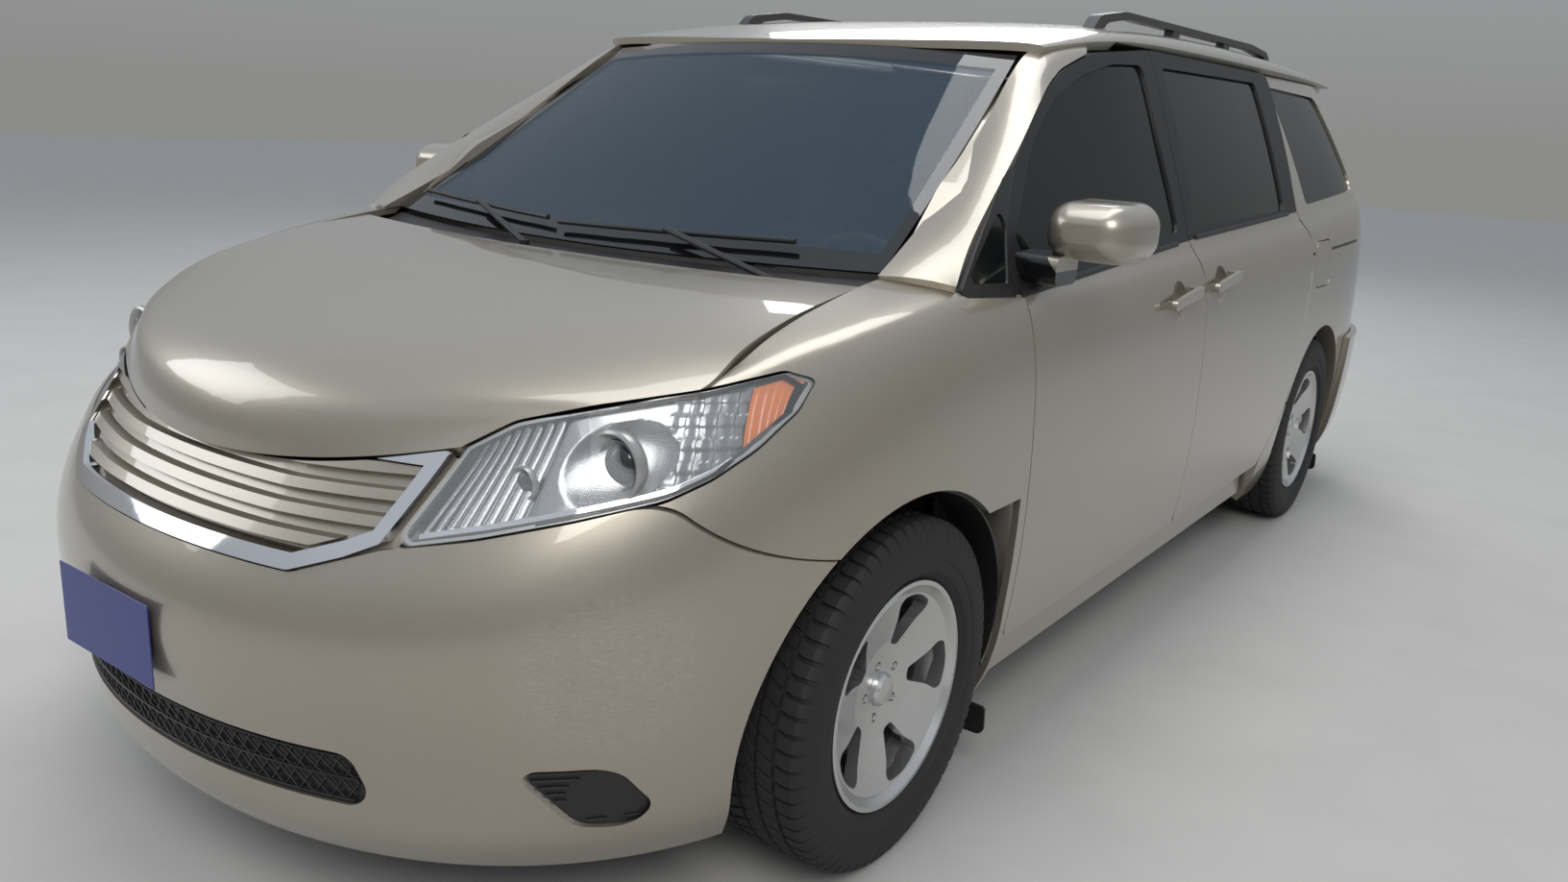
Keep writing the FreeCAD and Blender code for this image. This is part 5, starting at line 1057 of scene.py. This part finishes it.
def add_seats():
    widest = SEATS[0][3]
    pads = swollen("seat_pads", seat_pads(widest))
    rows = {"front": [], "middle": []}
    for name, x, y, half in SEATS:
        row = rows[name.split("_")[0]]
        row.append(place_pads(name, pads, (x, y, SEAT_FLOOR_Z), half / widest))
        hardware = [lofted([[(x + u, y - 215 + v, SEAT_FLOOR_Z + h) for u, v in oval(w, d, 32, 0.4)]
                            for h, w, d in SEAT_BASE])]
        for spread in (-POST_SPREAD, POST_SPREAD):
            path = [(x + spread, y + v, SEAT_FLOOR_Z + h) for v, h in POST]
            hardware.append(swept(path, oval(12, 12)))
        row.append(add_piece(f"{name}_base", merged(hardware), "grey_plastic", bevel=3))
        for side, sign in reversed(SIDES):
            path = [(x + sign * (half - 14), y + v, SEAT_FLOOR_Z + h) for v, h in HINGE_COVER]
            cover = swept(path, oval(18, 62, 20, 0.7), (1, 0, 0))
            add_piece(f"{name}_hinge_{side}", cover, "grey_plastic", bevel=2)
    for name, pieces in rows.items():
        for piece in pieces:
            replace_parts(piece, f"{name}_seats")
    bench = place_pads("rear_bench_pads", swollen("bench_pads", bench_pads()), (0, 0, 0))
    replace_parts(bench, "rear_bench")
    frame_piece = lofted([[(u, BENCH_Y + v, z) for u, v in oval(1120, d, 48, 0.3)] for z, d in BENCH_FRAME])
    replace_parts(add_piece("rear_bench_frame", frame_piece, "grey_plastic", bevel=3), "rear_bench")


# Cabin
DRIVER_X = 370
STEERING_PLACE = Vector((DRIVER_X, -800, 968))
STEERING_AXIS = Vector((0, 170, 75)).normalized()
STEERING_PAD = [(62, -10), (66, 4), (58, 16), (38, 22), (12, 24)]
# Hood over the instruments: y of its sections and how much lower each is
INSTRUMENT_HOOD = ((-1080, 14), (-1030, 4), (-960, 0), (-935, 2))
# Dials: x, radius of the rim and of the face
DIALS = ((DRIVER_X - 70, 34, 30), (DRIVER_X, 46, 42), (DRIVER_X + 70, 34, 30))
DIAL_FACING = (0, 1, 0.35)
VENTS = (-640, -155, 155, 640)
GEAR_LEVER = [(-40, -945, 790), (-40, -905, 830), (-40, -880, 872)]
GEAR_KNOB = [(8, 0), (20, 10), (24, 28), (21, 48), (10, 58), (3, 60)]
# Pedals: x, width and height
PEDALS = ((300, 92, 52), (430, 48, 110))
# Inner mirror: its (y, z), and the x, depth and height of its sections
INNER_MIRROR = (-742, 1492)
INNER_MIRROR_SECTIONS = ((-122, 12, 40), (-112, 26, 66), (112, 26, 66), (122, 12, 40))


def instrument_hood(top):
    """An arched hood over the dials; top is the height of the dashboard there."""
    turns = [math.pi * i / 24 for i in range(25)]
    rings = []
    for y, drop in INSTRUMENT_HOOD:
        outside = [Vector((DRIVER_X + 175 * math.cos(a), y, top - 16 + (46 - drop) * math.sin(a) ** 0.8))
                   for a in turns]
        inside = [Vector((DRIVER_X + 165 * math.cos(a), y, top - 22 + (40 - drop) * math.sin(a) ** 0.8))
                  for a in (math.pi * (1 - i / 24) for i in range(25))]
        rings.append(outside + inside)
    return lofted(rings)


def add_cabin():
    tree = surface("dashboard")
    top = landed(tree, "top", (DRIVER_X, -980)).z
    add_piece("instrument_hood", instrument_hood(top), "dash", bevel=1)
    rims, faces = [], []
    for x, radius, face in DIALS:
        ring = [(radius, 0), (radius, 8), (radius - 3, 10), (radius - 5, 8), (radius - 5, 0)]
        rims.append(revolved(ring, (x, -948, top - 22), DIAL_FACING, 48, loop=True))
        faces.append(revolved([(face, 0), (face, 3)], (x, -950, top - 22), DIAL_FACING, 40))
    add_piece("dial_rims", merged(rims), "chrome")
    add_piece("dial_faces", merged(faces), "screen_black", bevel=0.5)
    vents = []
    for x in VENTS:
        for k in range(5):
            z = 962 + k * 12
            vents.append(ribbon(tree, "rear", [(x - 52, z), (x + 52, z)], 4, 7, lift=0.4, step=20))
        rim = [(x - 60, 952), (x + 60, 952), (x + 60, 1020), (x - 60, 1020), (x - 60, 952)]
        vents.append(ribbon(tree, "rear", rim, 6, 9, lift=0.2, step=10))
    add_piece("dashboard_vents", merged(vents), "black_plastic", bevel=0.6)
    panel = grid_between([(-92, 898), (92, 898)], [(-92, 1018), (92, 1018)], 14, 8)
    add_piece("centre_screen", patch(tree, "rear", panel, 6), "screen_black", bevel=2)
    keys = []
    for z in (848, 870):
        for x in range(-75, 76, 30):
            key = grid_between([(x - 12, z), (x + 12, z)], [(x - 12, z + 15), (x + 12, z + 15)], 4, 3)
            keys.append(patch(tree, "rear", key, 5))
    add_piece("centre_keys", merged(keys), "lamp_grey", bevel=1)
    add_piece("gear_lever", swept(GEAR_LEVER, [oval(16, 16), oval(14, 14), oval(14, 14)]), "chrome")
    add_piece("gear_knob", revolved(GEAR_KNOB, (-40, -884, 864), (0, 0.35, 1), 32), "dash")
    pedals = []
    for x, width, height in PEDALS:
        pad = [(x, -1218, 470 - height / 2), (x, -1232, 470 + height / 2)]
        pedals.append(swept(pad, oval(width, 14, 20, 0.4), up=(0, 1, 0)))
        pedals.append(swept([(x, -1240, 480), (x, -1275, 640)], oval(16, 10, 12), up=(0, 1, 0)))
    add_piece("pedals", merged(pedals), "black_plastic", bevel=1)
    y, z = INNER_MIRROR
    shell = swept([(x, y, z) for x, _, _ in INNER_MIRROR_SECTIONS],
                  [oval(depth, height, 20, 0.6) for _, depth, height in INNER_MIRROR_SECTIONS])
    add_piece("inner_mirror", shell, "black_plastic")
    glass = swept([(-112, y + 15, z), (112, y + 15, z)], oval(3, 54, 20, 0.6))
    add_piece("inner_mirror_glass", glass, "mirror_glass")
    pad = revolved(STEERING_PAD, STEERING_PLACE + STEERING_AXIS * 8, STEERING_AXIS, 40)
    add_piece("steering_pad", pad, "dash", "steering_wheel")


# Tail: strips on the gate as name, path, width, thickness and finish, and the wiper's (x, z) places
GATE_STRIPS = (
    ("gate_garnish", [(-330, 975), (-180, 985), (180, 985), (330, 975)], 46, 12, "chrome"),
    ("gate_handle", [(-110, 946), (110, 946)], 20, 9, "black_plastic"),
    ("rear_wiper_foot", [(-18, 1140), (18, 1140)], 34, 22, "black_plastic"),
)
WIPER_ARM = ((0, 1140), (60, 1180), (150, 1212), (230, 1224))
WIPER_BLADE_Z = 1238


def add_tail():
    gate = surface("liftgate")
    for name, path, width, thickness, finish in GATE_STRIPS:
        strip = ribbon(gate, "rear", path, width, thickness, step=18, crown=3)
        add_piece(name, strip, finish, "liftgate", bevel=2)
    glass = surface("liftgate_glass", "liftgate")
    arm = swept([landed(glass, "rear", place, 16) for place in WIPER_ARM],
                [oval(16, 22), oval(10, 18), oval(8, 14), oval(7, 9)], (0, 1, 0))
    add_piece("rear_wiper_arm", arm, "wiper", "liftgate")
    blade = [landed(glass, "rear", (x, WIPER_BLADE_Z), 9) for x in range(-30, 391, 30)]
    add_piece("rear_wiper_blade", swept(blade, oval(7, 12), (0, 1, 0)), "wiper", "liftgate")
    lamp = ribbon(gate, "rear", [(-130, 1660), (130, 1660)], 20, 4, step=20)
    add_piece("third_brake_lamp", lamp, "red_lens", "liftgate", bevel=1)
    bumper = surface("rear_bumper")
    for side, sign in SIDES:
        reflector = ribbon(bumper, "rear", mirrored([(560, 470), (700, 476)], sign), 34, 4, step=12)
        add_piece(f"rear_reflector_{side}", reflector, "red_lens", bevel=2)
    step = ribbon(bumper, "rear", [(-600, 300), (600, 300)], 60, 3, step=30)
    add_piece("rear_bumper_valance", step, "black_plastic", bevel=1)


add_camera()
add_materials()
add_wheels()
add_headlamps()
add_intake()
add_sides()
add_seats()
add_cabin()
add_tail()
add_studio()
scene.view_settings.view_transform = "Standard"
